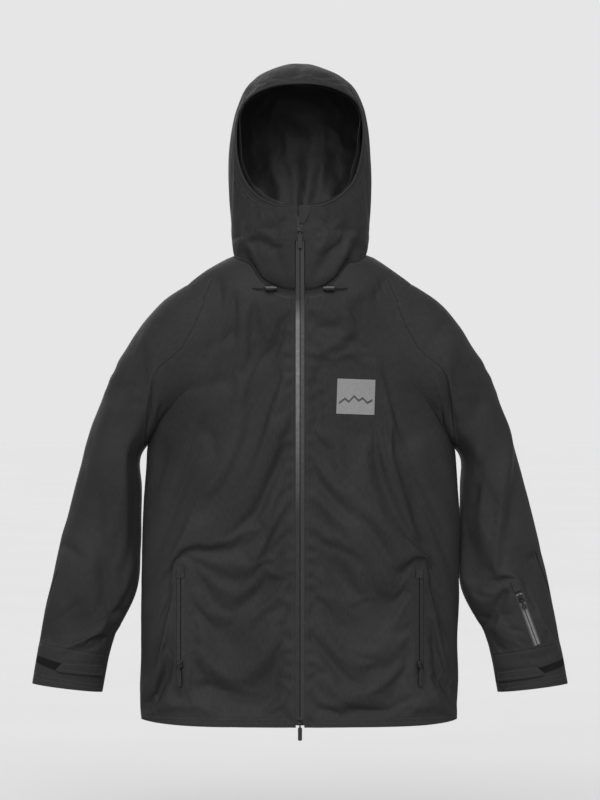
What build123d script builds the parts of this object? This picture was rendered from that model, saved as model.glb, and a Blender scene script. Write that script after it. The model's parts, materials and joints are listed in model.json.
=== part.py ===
"""A hooded shell ski jacket, hanging zipped up: shell panels, linings, zips, cord locks and cuff tabs.

Millimetres. The origin is where a peg bears in the hanger loop at the back of the neck.
+X is the wearer's left, -Y the front and +Z up.
"""

from build123d import *
import math
import os
from functools import partial

# Cloth and clearances
WALL = 2.4  # shell cloth, seam tape and lining backing together
LINING = 1.2
JOINT_GAP = 1.0  # between cloth on two sides of a moving joint
LAYER_GAP = 0.8  # between cloth layers that lie on each other
SEAM_GAP = 0.1
END_REACH = 20.0  # how far an inner solid runs past a tube's open end

# Overall sizes
BODY_HALF_WIDTH = 280.0
BODY_HALF_DEPTH = 84.0
LENGTH = 790.0  # from the hanger loop down to the hem
NECK_HALF_WIDTH = 114.0
NECK_HALF_DEPTH = 86.0
LOOP_ROOM = 6.0  # the neck's back stands this far behind the loop's middle

FRONT_Y = LOOP_ROOM - 2 * NECK_HALF_DEPTH  # the centre front, straight and upright for the zip
MID_Y = FRONT_Y + BODY_HALF_DEPTH  # the side seams' plane
HEM_Z = -LENGTH
CHIN_Z = 112.0
POCKET_ZONE = (HEM_Z + 42, HEM_Z + 350)  # the body's section is the same all the way between

# Body: height, half width, half depth and how far the front stands back from FRONT_Y
BODY_RINGS = [
    (HEM_Z, BODY_HALF_WIDTH - 4, BODY_HALF_DEPTH - 2, 0),
    (POCKET_ZONE[0], BODY_HALF_WIDTH, BODY_HALF_DEPTH, 0),
    (POCKET_ZONE[1], BODY_HALF_WIDTH, BODY_HALF_DEPTH, 0),
    (-300, BODY_HALF_WIDTH - 8, BODY_HALF_DEPTH + 1, 0),
    (-170, BODY_HALF_WIDTH - 19, BODY_HALF_DEPTH + 1, 0),
    (-90, BODY_HALF_WIDTH - 42, BODY_HALF_DEPTH, 0),
    (-50, BODY_HALF_WIDTH - 66, BODY_HALF_DEPTH - 2, 0),
    (-8, BODY_HALF_WIDTH - 102, BODY_HALF_DEPTH - 9, 9),
    (20, NECK_HALF_WIDTH + 24, NECK_HALF_DEPTH - 18, 20),
    (36, NECK_HALF_WIDTH - 6, NECK_HALF_DEPTH - 26, 30),
]

# Neck tube and hood: height, half width, half depth and how far the front stands back from FRONT_Y
HOOD_RINGS = [
    (-110, NECK_HALF_WIDTH - 8, NECK_HALF_DEPTH - 12, 7),
    (-30, NECK_HALF_WIDTH, NECK_HALF_DEPTH, 0),
    (36, NECK_HALF_WIDTH + 4, NECK_HALF_DEPTH + 6, 0),
    (CHIN_Z + 4, NECK_HALF_WIDTH + 13, NECK_HALF_DEPTH + 20, 0),
    (160, 128, 112, -4),
    (213, 125, 118, -12),
    (262, 120, 120, -20),
    (296, 112, 116, -24),
    (332, 95, 101, -16),
    (353, 67, 74, 6),
    (363, 42, 48, 30),
    (368, 12, 14, 62),
]
# The hood's face edge seen from the side: distance in front of the hinge, and height
FACE_EDGE = [
    (94, CHIN_Z), (86, 122), (72, 144), (53, 198), (43, 248),
    (43, 284), (68, 306), (96, 320), (112, 329), (134, 336),
]
BRIM_BACK = 54.0  # the brim's rear seam, in front of the hinge
BRIM_Z = 292.0
HOOD_SEAM_X = 46.0  # seams each side of the hood's centre panel
HOOD_PIVOT = (FRONT_Y + 94, 150.0)  # y, z
HOOD_PIVOT_R = 125.0
CENTRE_PANEL_FRONT = 70.0  # its front end, in front of the hinge
CHIN_STRIP = 40.0  # half width of the collar front that stays with the zip
CHIN_STRIP_BACK = MID_Y - 30
CHIN_ROOM_Z = CHIN_Z + 22  # the hood's cloth is cut away beside the strip up to here

# Sleeve, wearer's left, measured out from the body's side: outer edge, inner edge, half depth, behind MID_Y
SLEEVE_RINGS = [
    ((-168, 6), (-152, -206), 50, 2),
    ((-16, -70), (-46, -262), 74, 8),
    ((42, -154), (-18, -290), 72, 14),
    ((86, -259), (3, -322), 68, 20),
    ((117, -370), (8, -378), 66, 24),
    ((148, -486), (10, -484), 62, 24),
    ((162, -548), (12, -544), 57, 22),
    ((184, -668), (53, -658), 44, 14),
    ((192, -720), (68, -735), 37, 8),
]
SHOULDER_PIVOT_R = 60.5
SHOULDER_PIVOT = (BODY_HALF_WIDTH + SHOULDER_PIVOT_R + 2, -376.0)  # x, z; just clear of the body's side
SHOULDER_DIR = (0.19, -0.982)  # along the sleeve there
ELBOW_PIVOT = (BODY_HALF_WIDTH + 79, -490.0)
ELBOW_BEHIND = 24.0
ELBOW_DIR = (0.17, -0.985)
ELBOW_PIVOT_R = 72.0

# Cuff: the line that the tab closes along, square to the sleeve
CUFF_LINE = (BODY_HALF_WIDTH + 126, -692.0)  # x, z
CUFF_DIR = (0.16, -0.987)
PAD_SPAN = (BODY_HALF_WIDTH + 92, BODY_HALF_WIDTH + 200)
PAD_HALF_HEIGHT = 12.0
PAD = (0.2, 0.7)  # gap under it and thickness
TAB_SPAN = (BODY_HALF_WIDTH + 68, BODY_HALF_WIDTH + 150)
TAB_HALF_HEIGHT = 15.0
TAB_THICK = 1.6

# Zips
ZIP_HALF = 7.5  # half the width of the opening that the coated tapes fill
SLOT_DEPTH = 30.0
TAPE = 1.6
CHAIN_HALF = 3.0
CHAIN = 2.4
CHAIN_SLIT = 1.4  # between the two rows of coil, where a slider's neck runs
CHAIN_SHORT = 3.0  # how much sooner the coil ends than its tape
SLIDER = (9.0, 13.0, 3.0)  # width, length, height over the tape
SLIDER_NECK = 0.9
SLIDER_CLEAR = 0.4
SLIDER_CORNER = 2.2
NECK_HALF_LENGTH = 3.0
REAR_PLATE = 1.4
PIN_R = 1.0
PIN_FIT = 0.06  # radial clearance of a puller's eye on its pin
PIN_FROM_END = 2.6  # of the slider
EYE_R = PIN_R + 1.1
EYE_GAP = 0.4  # over the slider's plate and beside each lug
LUG = 1.8  # thickness
LUG_HALF_LENGTH = 2.0
LUG_OVER_PIN = 1.6
PULLER_ARM = (9.0, 1.4, 0.9)  # reach, half width, half thickness
PULLER_GRIP = (7.0, 3.6, 1.5)  # start, half width, half thickness
GRIP_CORNER = 2.4
MAIN_ZIP = (HEM_Z + 4, CHIN_Z - 14)
MAIN_SLIDER_Z = CHIN_Z - 36
LOWER_SLIDER_Z = HEM_Z + 12
MAIN_PULLER = 30.0
HAND_ZIP_X = BODY_HALF_WIDTH * 26 / 35
HAND_ZIP = (HEM_Z + 94, HEM_Z + 270)
HAND_SLIDER_Z = HAND_ZIP[0] + 14
HAND_PULLER = 34.0
SLEEVE_ZIP_X = (BODY_HALF_WIDTH + 103, BODY_HALF_WIDTH + 136)  # top and bottom
SLEEVE_ZIP_Z = (-560.0, -650.0)
SLEEVE_SLIDER_IN = 9.0  # below the zip's top
SLEEVE_PULLER = 16.0
GARAGE = (22.0, 14.0, 1.4)  # length, width, height
GARAGE_GAP = 0.5
GARAGE_OVER = 10.0  # how far a hand pocket's garage stands past the zip's end
SLEEVE_GARAGE_UP = 17.0  # how much further the sleeve's stands
GARAGE_CORNER = 3.0
REACH = TAPE + CHAIN + SLIDER_CLEAR + REAR_PLATE  # how deep a slider stands behind the cloth's face

# Pockets, patch, skirt and loop
BAG_INSET = REACH + 1.2  # clear behind the hand zips' sliders
LINING_INSET = BAG_INSET + LINING + 1.0
LINING_Z = (HEM_Z + 30, -90.0)  # foot and top
LINING_SLIT = 34.0  # half width of its opening behind the zip
STORM_FLAP_HALF = 24.0
STORM_FLAP_Y = FRONT_Y + REACH + 1.4  # behind the main zip's sliders
STORM_FLAP_Z = (HEM_Z + 6, CHIN_Z - 16)
CHIN_GUARD = (-2.0, 17.0, CHIN_Z - 28, CHIN_Z + 5)  # x range and z range
CHIN_GUARD_Y = (FRONT_Y - 2.2, FRONT_Y - 0.6)
CHIN_GUARD_CORNER = 5.0
HAND_BAG = (BODY_HALF_WIDTH - 192, BODY_HALF_WIDTH - 44, HEM_Z + 52, HEM_Z + 302)  # x range and z range
SLEEVE_BAG = (BODY_HALF_WIDTH + 78, BODY_HALF_WIDTH + 166, -672.0, -546.0)
PATCH = (63.0, 131.0, -247.0, -184.0)
PATCH_THICK = 0.6
SKIRT_TOP_Z = HEM_Z + 230
SKIRT_FOOT = (HEM_Z + 96, BODY_HALF_WIDTH - 44, BODY_HALF_DEPTH - 28)  # height, half width, half depth
SKIRT_WALL = 1.6
SKIRT_SEWN = LINING_INSET + LINING + 0.4  # inset of its top, just inside the lining
SKIRT_SPLIT = 16.0
STUD_R = 2.5
STUD_LENGTH = 3.0
STUD_BASE = (6.0, 1.2)  # radius, thickness
STUD_IN = 1.2  # its face stands this far in front of the skirt's slope
STUD_Z = HEM_Z + 150
LOOP_HALF = 20.0
LOOP_WIDTH = 6.0
LOOP_THICK = 1.6
LOOP_DROP = 14.0
LOOP_FOOT = (4.0, 5.0)  # how far it stands out at each side, and its height
LABEL = (24.0, -54.0, -LOOP_DROP - 8)  # half width, foot and top
LABEL_GAP = 0.4
LABEL_THICK = 0.6

# Cord locks at the collar seam, their axes level across the chest
LOCK_X = 52.0
LOCK_Z = -27.0
LOCK_R = 5.5
LOCK_LENGTH = 15.0
LOCK_BORE = 9.5  # depth
LOCK_GAP = 0.9
BUTTON_R = 4.0
BUTTON_FIT = 0.35
BUTTON_OUT = 4.0
BUTTON_TRAVEL = 3.0
BUTTON_ROOM = 1.0  # left behind it at the end of its travel
CORD_R = 1.3
CORD_GAP = (0.6, 2.6)  # at the lock and over the cloth
EYELET_X = 82.0
EYELET = (4.5, 2.0, 0.9)  # outer radius, hole radius, thickness
EYELET_OUT = 0.6  # its middle, over the cloth

BIG = 1200.0  # past everything


def slab(x0, x1, y0, y1, z0, z1):
    """A box between two corners."""
    return Pos((x0 + x1) / 2, (y0 + y1) / 2, (z0 + z1) / 2) * Box(x1 - x0, y1 - y0, z1 - z0)


def ring_tube(rings, inset, reach=0.0):
    """A solid through level elliptical rings, all drawn in by inset; reach carries both ends further."""
    if reach:
        first, last = rings[0], rings[-1]
        rings = [(first[0] - reach, *first[1:]), *rings, (last[0] + reach, *last[1:])]
    faces = [
        Pos(0, FRONT_Y + back + half_depth, z) * Ellipse(half_width - inset, half_depth - inset)
        for z, half_width, half_depth, back in rings
    ]
    return loft(faces, ruled=True)


def body_solid(inset=0.0):
    """The body's outside drawn in by inset."""
    return ring_tube(BODY_RINGS, inset, reach=END_REACH if inset > 0 else 0)


def hood_solid(inset=0.0):
    """The hood's outside drawn in by inset, its crown's rings lowered by as much."""
    crown = HOOD_RINGS[-4][0]
    rings = [(z - (inset if z >= crown else 0), a, b, back) for z, a, b, back in HOOD_RINGS]
    return ring_tube(rings, inset)


def sleeve_solid(side, inset=0.0):
    """The sleeve's outside drawn in by inset, for side +1 (wearer's left) or -1."""
    faces = []
    last = len(SLEEVE_RINGS) - 1
    for i, (outer, inner, half_depth, behind) in enumerate(SLEEVE_RINGS):
        across = Vector(side * (outer[0] - inner[0]), 0, outer[1] - inner[1])
        upward = across.normalized().cross(Vector(0, side, 0))
        middle_x = BODY_HALF_WIDTH + (outer[0] + inner[0]) / 2
        middle = Vector(side * middle_x, MID_Y + behind, (outer[1] + inner[1]) / 2)
        places = [middle]
        if inset > 0 and i == 0:
            places = [middle + upward * END_REACH, middle]
        if inset > 0 and i == last:
            places = [middle, middle - upward * END_REACH]
        for place in places:
            plane = Plane(origin=place, x_dir=across, z_dir=upward)
            faces.append(plane * Ellipse(across.length / 2 - inset, half_depth - inset))
    return loft(faces[::-1], ruled=True)


def shell(make, outside=0.0, wall=WALL):
    """The layer of cloth between two insets of one of the solids above."""
    return make(outside) - make(outside + wall)


def turned_cut(pivot, axis, ahead, radius):
    """A hinge's round end: a cylinder on the axis through the pivot, and the half space ahead of it."""
    at = Vector(*pivot)
    cylinder = Plane(origin=at, z_dir=axis) * Cylinder(radius, BIG)
    half = Plane(origin=at, z_dir=ahead) * Pos(0, 0, BIG / 2) * Box(BIG, BIG, BIG)
    return cylinder, half


def split_at_hinge(cloth, pivot, axis, ahead, radius):
    """Parts of a tube before and beyond a hinge, with a round gap between them."""
    inner, half = turned_cut(pivot, axis, ahead, radius - JOINT_GAP / 2)
    outer, _ = turned_cut(pivot, axis, ahead, radius + JOINT_GAP / 2)
    before = cloth - half - outer
    beyond = (cloth & half) + (cloth & inner)
    return before, beyond


def zip_frame(top, bottom, outward):
    """A plane on a zip: origin at its middle, x along it from bottom to top, z straight out of the cloth."""
    top, bottom = Vector(*top), Vector(*bottom)
    return Plane(origin=(top + bottom) / 2, x_dir=top - bottom, z_dir=outward)


def zip_tapes(frame, length):
    """Two coated tapes in the slot and the coil behind them, each side apart."""
    parts = []
    for side in (1, -1):
        tape = slab(-length / 2, length / 2, CHAIN_SLIT / 2, ZIP_HALF - SEAM_GAP, -TAPE, 0)
        reach = length / 2 - CHAIN_SHORT
        coil = slab(-reach, reach, CHAIN_SLIT / 2, CHAIN_HALF, -TAPE - CHAIN, -TAPE)
        if side < 0:
            tape, coil = mirror(tape, Plane.XZ), mirror(coil, Plane.XZ)
        parts.append((frame * tape, frame * coil))
    return parts


def slider_and_puller(frame, at, puller_length, hang=-1):
    """A slider round the tapes with a cross pin, and its puller hanging along the zip."""
    width, length, height = SLIDER
    below = -TAPE - CHAIN - SLIDER_CLEAR
    rear = below - REAR_PLATE / 2
    middle = SLIDER_CLEAR + height / 2
    pin_x = at + hang * (length / 2 - PIN_FROM_END)
    pin_z = SLIDER_CLEAR + height + EYE_R + EYE_GAP
    top_plate = Pos(at, 0, middle) * Box(length, width, height)
    top_plate = fillet(top_plate.edges().filter_by(Axis.Z), SLIDER_CORNER)
    rear_plate = Pos(at, 0, rear) * Box(length, width, REAR_PLATE)
    neck_ends = at - NECK_HALF_LENGTH, at + NECK_HALF_LENGTH
    neck = slab(*neck_ends, -SLIDER_NECK / 2, SLIDER_NECK / 2, rear, middle)
    lug_ends = pin_x - LUG_HALF_LENGTH, pin_x + LUG_HALF_LENGTH
    lugs = [
        slab(*lug_ends, *sorted((s * (width / 2 - LUG), s * width / 2)), height, pin_z + LUG_OVER_PIN)
        for s in (1, -1)
    ]
    across = Pos(pin_x, 0, pin_z) * Rot(90, 0, 0)
    pin = across * Cylinder(PIN_R, width - LUG)
    slider = top_plate + rear_plate + neck + lugs[0] + lugs[1] + pin

    eye = across * Cylinder(EYE_R, width - 2 * LUG - 2 * EYE_GAP)
    reach, half, thick = PULLER_ARM
    arm = slab(*sorted((pin_x, pin_x + hang * reach)), -half, half, pin_z - thick, pin_z + thick)
    start, half, thick = PULLER_GRIP
    grip_ends = sorted((pin_x + hang * start, pin_x + hang * puller_length))
    grip = slab(*grip_ends, -half, half, pin_z - thick, pin_z + thick)
    grip = fillet(grip.edges().filter_by(Axis.Z), GRIP_CORNER)
    bore = across * Cylinder(PIN_R + PIN_FIT, width)
    puller = eye + arm + grip - bore
    return frame * slider, frame * puller, frame.from_local_coords(Vector(pin_x, 0, pin_z))


def garage(top):
    """The moulded cover over a zip's top end."""
    length, width, height = GARAGE
    end = top + GARAGE_OVER
    cover = slab(end - length, end, -width / 2, width / 2, GARAGE_GAP, GARAGE_GAP + height)
    return fillet(cover.edges().filter_by(Axis.Z), GARAGE_CORNER)


def body_surface(x, half_width=BODY_HALF_WIDTH, half_depth=BODY_HALF_DEPTH):
    """The body's front at x between the pocket heights: y, and the outward direction."""
    centre_y = FRONT_Y + half_depth
    depth = half_depth * math.sqrt(1 - (x / half_width) ** 2)
    outward = Vector(x / half_width**2, -depth / half_depth**2, 0).normalized()
    return centre_y - depth, outward


def sleeve_surface(x, z):
    """The left sleeve's front at x, z within the stretch that holds the pocket: y."""
    upper, lower = SLEEVE_RINGS[-3:-1]
    share = (upper[0][1] - z) / (upper[0][1] - lower[0][1])

    def mix(a, b):
        return a + share * (b - a)

    outer = BODY_HALF_WIDTH + mix(upper[0][0], lower[0][0])
    inner = BODY_HALF_WIDTH + mix(upper[1][0], lower[1][0])
    half_depth, behind = mix(upper[2], lower[2]), mix(upper[3], lower[3])
    offset = (x - (outer + inner) / 2) / ((outer - inner) / 2)
    return MID_Y + behind - half_depth * math.sqrt(1 - offset**2)


def build_body(parts):
    """Front and back panels, shoulder caps of the sleeves, collar, lining and patch."""
    body_out, body_in = body_solid(), body_solid(WALL)
    hood_hinge = (0, *HOOD_PIVOT), Vector(1, 0, 0), Vector(0, 0, 1)
    neck_out = hood_solid()
    arms_out = {s: sleeve_solid(s) for s in (1, -1)}
    arms_in = {s: sleeve_solid(s, WALL) for s in (1, -1)}
    slot = SLOT_DEPTH / 2
    front_slot = slab(-ZIP_HALF, ZIP_HALF, FRONT_Y - slot, FRONT_Y + slot, HEM_Z - slot, CHIN_Z + slot)

    hood_room = hood_solid(-JOINT_GAP) & turned_cut(*hood_hinge, HOOD_PIVOT_R + JOINT_GAP)[0]
    cloth = body_out - body_in - neck_out - hood_room - arms_in[1] - arms_in[-1] - front_slot
    seam_front = slab(-BIG, BIG, -BIG, MID_Y, -BIG, BIG)
    for side, name in ((1, "left"), (-1, "right")):
        half = slab(*sorted((0, side * BIG)), -BIG, BIG, -BIG, BIG)
        front = cloth & seam_front & half
        zip_slot = hand_zip_frame(side) * Box(HAND_ZIP[1] - HAND_ZIP[0], 2 * ZIP_HALF, SLOT_DEPTH)
        parts[f"front_panel_{name}"] = front - zip_slot
    parts["back_panel"] = cloth - seam_front

    collar = shell(hood_solid) - body_out - front_slot
    strip = slab(-CHIN_STRIP, CHIN_STRIP, -BIG, CHIN_STRIP_BACK, -BIG, CHIN_Z)
    ring, hood = split_at_hinge(collar, *hood_hinge, HOOD_PIVOT_R)
    beside = CHIN_STRIP + JOINT_GAP
    strip_room = slab(-beside, beside, -BIG, CHIN_STRIP_BACK, -BIG, CHIN_ROOM_Z)
    collar_fixed = (ring - strip) + (collar & strip)
    left = slab(0, BIG, -BIG, BIG, -BIG, BIG)
    back = slab(-BIG, BIG, MID_Y, BIG, -BIG, BIG)
    parts["collar_back"] = collar_fixed & back
    parts["collar_front_left"] = (collar_fixed - back) & left
    parts["collar_front_right"] = collar_fixed - back - left
    hood = hood - strip_room - face_cut()

    lining = shell(body_solid, LINING_INSET, LINING) - hood_solid(-1)
    lining -= sleeve_solid(1, -1) + sleeve_solid(-1, -1)
    lining -= slab(-LINING_SLIT, LINING_SLIT, -BIG, MID_Y, -BIG, BIG)
    parts["body_lining"] = lining & slab(-BIG, BIG, -BIG, BIG, *LINING_Z)

    patch = shell(body_solid, -LAYER_GAP, PATCH_THICK)
    parts["chest_patch"] = patch & slab(PATCH[0], PATCH[1], -BIG, MID_Y, PATCH[2], PATCH[3])

    bag = shell(body_solid, BAG_INSET, LINING)
    x0, x1, z0, z1 = HAND_BAG
    for side, name in ((1, "left"), (-1, "right")):
        window = slab(*sorted((side * x0, side * x1)), -BIG, MID_Y, z0, z1)
        parts[f"hand_pocket_bag_{name}"] = bag & window

    for side, name in ((1, "left"), (-1, "right")):
        sleeve = arms_out[side] - arms_in[side] - body_out
        build_sleeve(parts, side, name, sleeve)
    return hood


def hand_zip_frame(side):
    """The plane on a hand pocket's zip."""
    y, outward = body_surface(side * HAND_ZIP_X)
    x = side * HAND_ZIP_X
    return zip_frame((x, y, HAND_ZIP[1]), (x, y, HAND_ZIP[0]), outward)


def sleeve_zip_ends():
    """Top and bottom of the forearm pocket's zip."""
    return [Vector(x, sleeve_surface(x, z), z) for x, z in zip(SLEEVE_ZIP_X, SLEEVE_ZIP_Z)]


def sleeve_zip_length():
    """Length of the forearm pocket's zip."""
    top, bottom = sleeve_zip_ends()
    return (top - bottom).length


def sleeve_zip_frame():
    """The plane on the forearm pocket's zip."""
    top, bottom = sleeve_zip_ends()
    step = 4.0
    x, z = sum(SLEEVE_ZIP_X) / 2, sum(SLEEVE_ZIP_Z) / 2
    slope = (sleeve_surface(x + step, z) - sleeve_surface(x - step, z)) / (2 * step)
    along = (top - bottom).normalized()
    across = Vector(1, slope, 0).normalized()
    return zip_frame(top, bottom, across.cross(along))


def build_sleeve(parts, side, name, sleeve):
    """One sleeve in three: the cap sewn into the body, the upper sleeve and the forearm, with its tab."""
    shoulder = (side * SHOULDER_PIVOT[0], MID_Y, SHOULDER_PIVOT[1])
    ahead = Vector(side * SHOULDER_DIR[0], 0, SHOULDER_DIR[1])
    cap, arm = split_at_hinge(sleeve, shoulder, Vector(0, 1, 0), ahead, SHOULDER_PIVOT_R)
    elbow = (side * ELBOW_PIVOT[0], MID_Y + ELBOW_BEHIND, ELBOW_PIVOT[1])
    ahead = Vector(side * ELBOW_DIR[0], 0, ELBOW_DIR[1])
    across = Vector(ELBOW_DIR[1], 0, -side * ELBOW_DIR[0])
    upper, forearm = split_at_hinge(arm, elbow, across, ahead, ELBOW_PIVOT_R)
    if side > 0:
        length = sleeve_zip_length()
        slot = sleeve_zip_frame() * Box(length, 2 * ZIP_HALF, SLOT_DEPTH)
        forearm -= slot & slab(0, BIG, -BIG, MID_Y, -BIG, BIG)
    parts[f"sleeve_cap_{name}"] = cap
    parts[f"upper_sleeve_{name}"] = upper
    parts[f"forearm_sleeve_{name}"] = forearm

    front = slab(-BIG, BIG, -BIG, MID_Y - 4, -BIG, BIG)

    def cuff_layer(gap, thick, half_height, span):
        """Cloth of a given thickness on the sleeve's front, in the strip that the tab closes along."""
        layer = shell(partial(sleeve_solid, side), -gap - thick, thick)
        x, z = CUFF_LINE
        line = Plane(origin=(side * x, MID_Y, z), z_dir=Vector(side * CUFF_DIR[0], 0, CUFF_DIR[1]))
        strip = line * Box(BIG, BIG, 2 * half_height)
        return layer & front & strip & slab(*sorted((side * span[0], side * span[1])), -BIG, BIG, -BIG, BIG)

    if side > 0:
        bag = shell(partial(sleeve_solid, side), BAG_INSET, LINING) & front
        parts["sleeve_pocket_bag"] = bag & slab(*SLEEVE_BAG[:2], -BIG, MID_Y, *SLEEVE_BAG[2:])
    parts[f"cuff_pad_{name}"] = cuff_layer(*PAD, PAD_HALF_HEIGHT, PAD_SPAN)
    tab_gap = sum(PAD) + JOINT_GAP / 2
    parts[f"cuff_tab_{name}"] = cuff_layer(tab_gap, TAB_THICK, TAB_HALF_HEIGHT, TAB_SPAN)


def face_cut():
    """Everything in front of the hood's face edge."""
    edge = [Vector(0, HOOD_PIVOT[0] - ahead, z) for ahead, z in FACE_EDGE]
    far = FRONT_Y - BODY_HALF_WIDTH
    outline = Wire([
        Spline(*edge),
        Line(edge[-1], Vector(0, far, edge[-1].Z)),
        Line(Vector(0, far, edge[-1].Z), Vector(0, far, CHIN_Z)),
        Line(Vector(0, far, CHIN_Z), edge[0]),
    ])
    return extrude(Face(outline), amount=BIG, dir=(1, 0, 0), both=True)


def build_hood(parts, hood):
    """The hood's cloth in four panels, and its lining."""
    brim_room = slab(-BIG, BIG, -BIG, HOOD_PIVOT[0] - BRIM_BACK, BRIM_Z, BIG)
    parts["hood_brim"] = hood & brim_room
    rest = hood - brim_room
    middle = slab(-HOOD_SEAM_X, HOOD_SEAM_X, HOOD_PIVOT[0] - CENTRE_PANEL_FRONT, BIG, -BIG, BIG)
    parts["hood_centre_panel"] = rest & middle
    sides = rest - middle
    left = slab(0, BIG, -BIG, BIG, -BIG, BIG)
    parts["hood_side_left"], parts["hood_side_right"] = sides & left, sides - left

    lining = shell(hood_solid, WALL + LAYER_GAP, LINING) - face_cut()
    lining &= slab(-BIG, BIG, -BIG, BIG, HOOD_PIVOT[1] + 6, BIG)
    parts["hood_lining"] = lining


def build_zips(parts):
    """Every zip: tapes, coils, sliders and pullers."""
    main = zip_frame((0, FRONT_Y, MAIN_ZIP[1]), (0, FRONT_Y, MAIN_ZIP[0]), Vector(0, -1, 0))
    middle_z = sum(MAIN_ZIP) / 2
    for (tape, coil), name in zip(zip_tapes(main, MAIN_ZIP[1] - MAIN_ZIP[0]), ("right", "left")):
        parts[f"main_zip_tape_{name}"] = tape
        parts[f"main_zip_coil_{name}"] = coil
    axes = {}
    for label, z in (("upper", MAIN_SLIDER_Z), ("lower", LOWER_SLIDER_Z)):
        made = slider_and_puller(main, z - middle_z, MAIN_PULLER)
        parts[f"main_{label}_slider"], parts[f"main_{label}_puller"], axes[f"main_{label}"] = made

    middle_z = sum(HAND_ZIP) / 2
    for side, name in ((1, "left"), (-1, "right")):
        frame = hand_zip_frame(side)
        pair = zip_tapes(frame, HAND_ZIP[1] - HAND_ZIP[0])
        parts[f"hand_zip_{name}"] = pair[0][0] + pair[0][1] + pair[1][0] + pair[1][1]
        made = slider_and_puller(frame, HAND_SLIDER_Z - middle_z, HAND_PULLER)
        parts[f"hand_slider_{name}"], parts[f"hand_puller_{name}"], axes[f"hand_{name}"] = made

    frame = sleeve_zip_frame()
    length = sleeve_zip_length()
    pair = zip_tapes(frame, length)
    parts["sleeve_zip"] = pair[0][0] + pair[0][1] + pair[1][0] + pair[1][1]
    made = slider_and_puller(frame, length / 2 - SLEEVE_SLIDER_IN, SLEEVE_PULLER)
    parts["sleeve_slider"], parts["sleeve_puller"], axes["sleeve"] = made
    parts["sleeve_garage"] = frame * garage(length / 2 + SLEEVE_GARAGE_UP)
    cover = garage((HAND_ZIP[1] - HAND_ZIP[0]) / 2)
    parts["hand_garages"] = hand_zip_frame(1) * cover + hand_zip_frame(-1) * cover
    for name, point in axes.items():
        print("puller axis", name, [round(v, 2) for v in point])
    print("sleeve zip direction", frame.x_dir, "across", frame.y_dir)
    print("hand zip across", hand_zip_frame(1).y_dir, hand_zip_frame(-1).y_dir)


def build_front_trim(parts):
    """Storm flap and chin guard."""
    across, deep = (-STORM_FLAP_HALF, STORM_FLAP_HALF), (STORM_FLAP_Y, STORM_FLAP_Y + LINING)
    parts["storm_flap"] = slab(*across, *deep, *STORM_FLAP_Z)
    guard = slab(*CHIN_GUARD[:2], *CHIN_GUARD_Y, *CHIN_GUARD[2:])
    parts["chin_guard"] = fillet(guard.edges().filter_by(Axis.Y), CHIN_GUARD_CORNER)


def build_skirt(parts):
    """The powder skirt inside the body, with its stud for ski trousers."""
    top_half_width, top_half_depth = BODY_HALF_WIDTH - SKIRT_SEWN, BODY_HALF_DEPTH - SKIRT_SEWN
    foot_z, foot_half_width, foot_half_depth = SKIRT_FOOT
    rings = [(foot_z, foot_half_width, foot_half_depth), (SKIRT_TOP_Z, top_half_width, top_half_depth)]
    outside, inside = (
        loft([Pos(0, MID_Y, z) * Ellipse(a - inset, b - inset) for z, a, b in rings], ruled=True)
        for inset in (0, SKIRT_WALL)
    )
    split = slab(-SKIRT_SPLIT, SKIRT_SPLIT, -BIG, MID_Y, -BIG, BIG)
    parts["powder_skirt"] = outside - inside - split
    share = (SKIRT_TOP_Z - STUD_Z) / (SKIRT_TOP_Z - foot_z)
    wall = top_half_depth + share * (foot_half_depth - top_half_depth)
    face_y = MID_Y + wall - SKIRT_WALL - STUD_IN
    radius, thick = STUD_BASE
    base = Pos(0, face_y - thick / 2, STUD_Z) * Rot(90, 0, 0) * Cylinder(radius, thick)
    stud_y = face_y - thick - STUD_LENGTH / 2
    stud = Pos(0, stud_y, STUD_Z) * Rot(90, 0, 0) * Cylinder(STUD_R, STUD_LENGTH)
    parts["skirt_stud"] = base + stud
    print("stud middle y", stud_y)


def build_loop(parts):
    """The hanger loop: a webbing arch whose underside holds the peg at the origin."""
    ends = [Vector(s * LOOP_HALF, -LOOP_WIDTH / 2, -LOOP_DROP) for s in (-1, 1)]
    thick = Vector(LOOP_THICK, 0, 0)
    arch = [
        ThreePointArc(first, Vector(0, -LOOP_WIDTH / 2, top), last)
        for first, last, top in (
            (ends[0], ends[1], 0),
            (ends[0] - thick, ends[1] + thick, LOOP_THICK),
        )
    ]
    outline = Wire([
        arch[0],
        Line(arch[0] @ 1, arch[1] @ 1),
        arch[1],
        Line(arch[1] @ 0, arch[0] @ 0),
    ])
    loop = extrude(Face(outline), amount=LOOP_WIDTH, dir=(0, 1, 0))
    half, width = LOOP_HALF + LOOP_FOOT[0], LOOP_WIDTH / 2
    foot = slab(-half, half, -width, width, -LOOP_DROP - LOOP_FOOT[1], -LOOP_DROP)
    parts["hanger_loop"] = loop + foot
    label = shell(hood_solid, WALL + LABEL_GAP, LABEL_THICK)
    parts["neck_label"] = label & slab(-LABEL[0], LABEL[0], MID_Y, BIG, *LABEL[1:])


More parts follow.
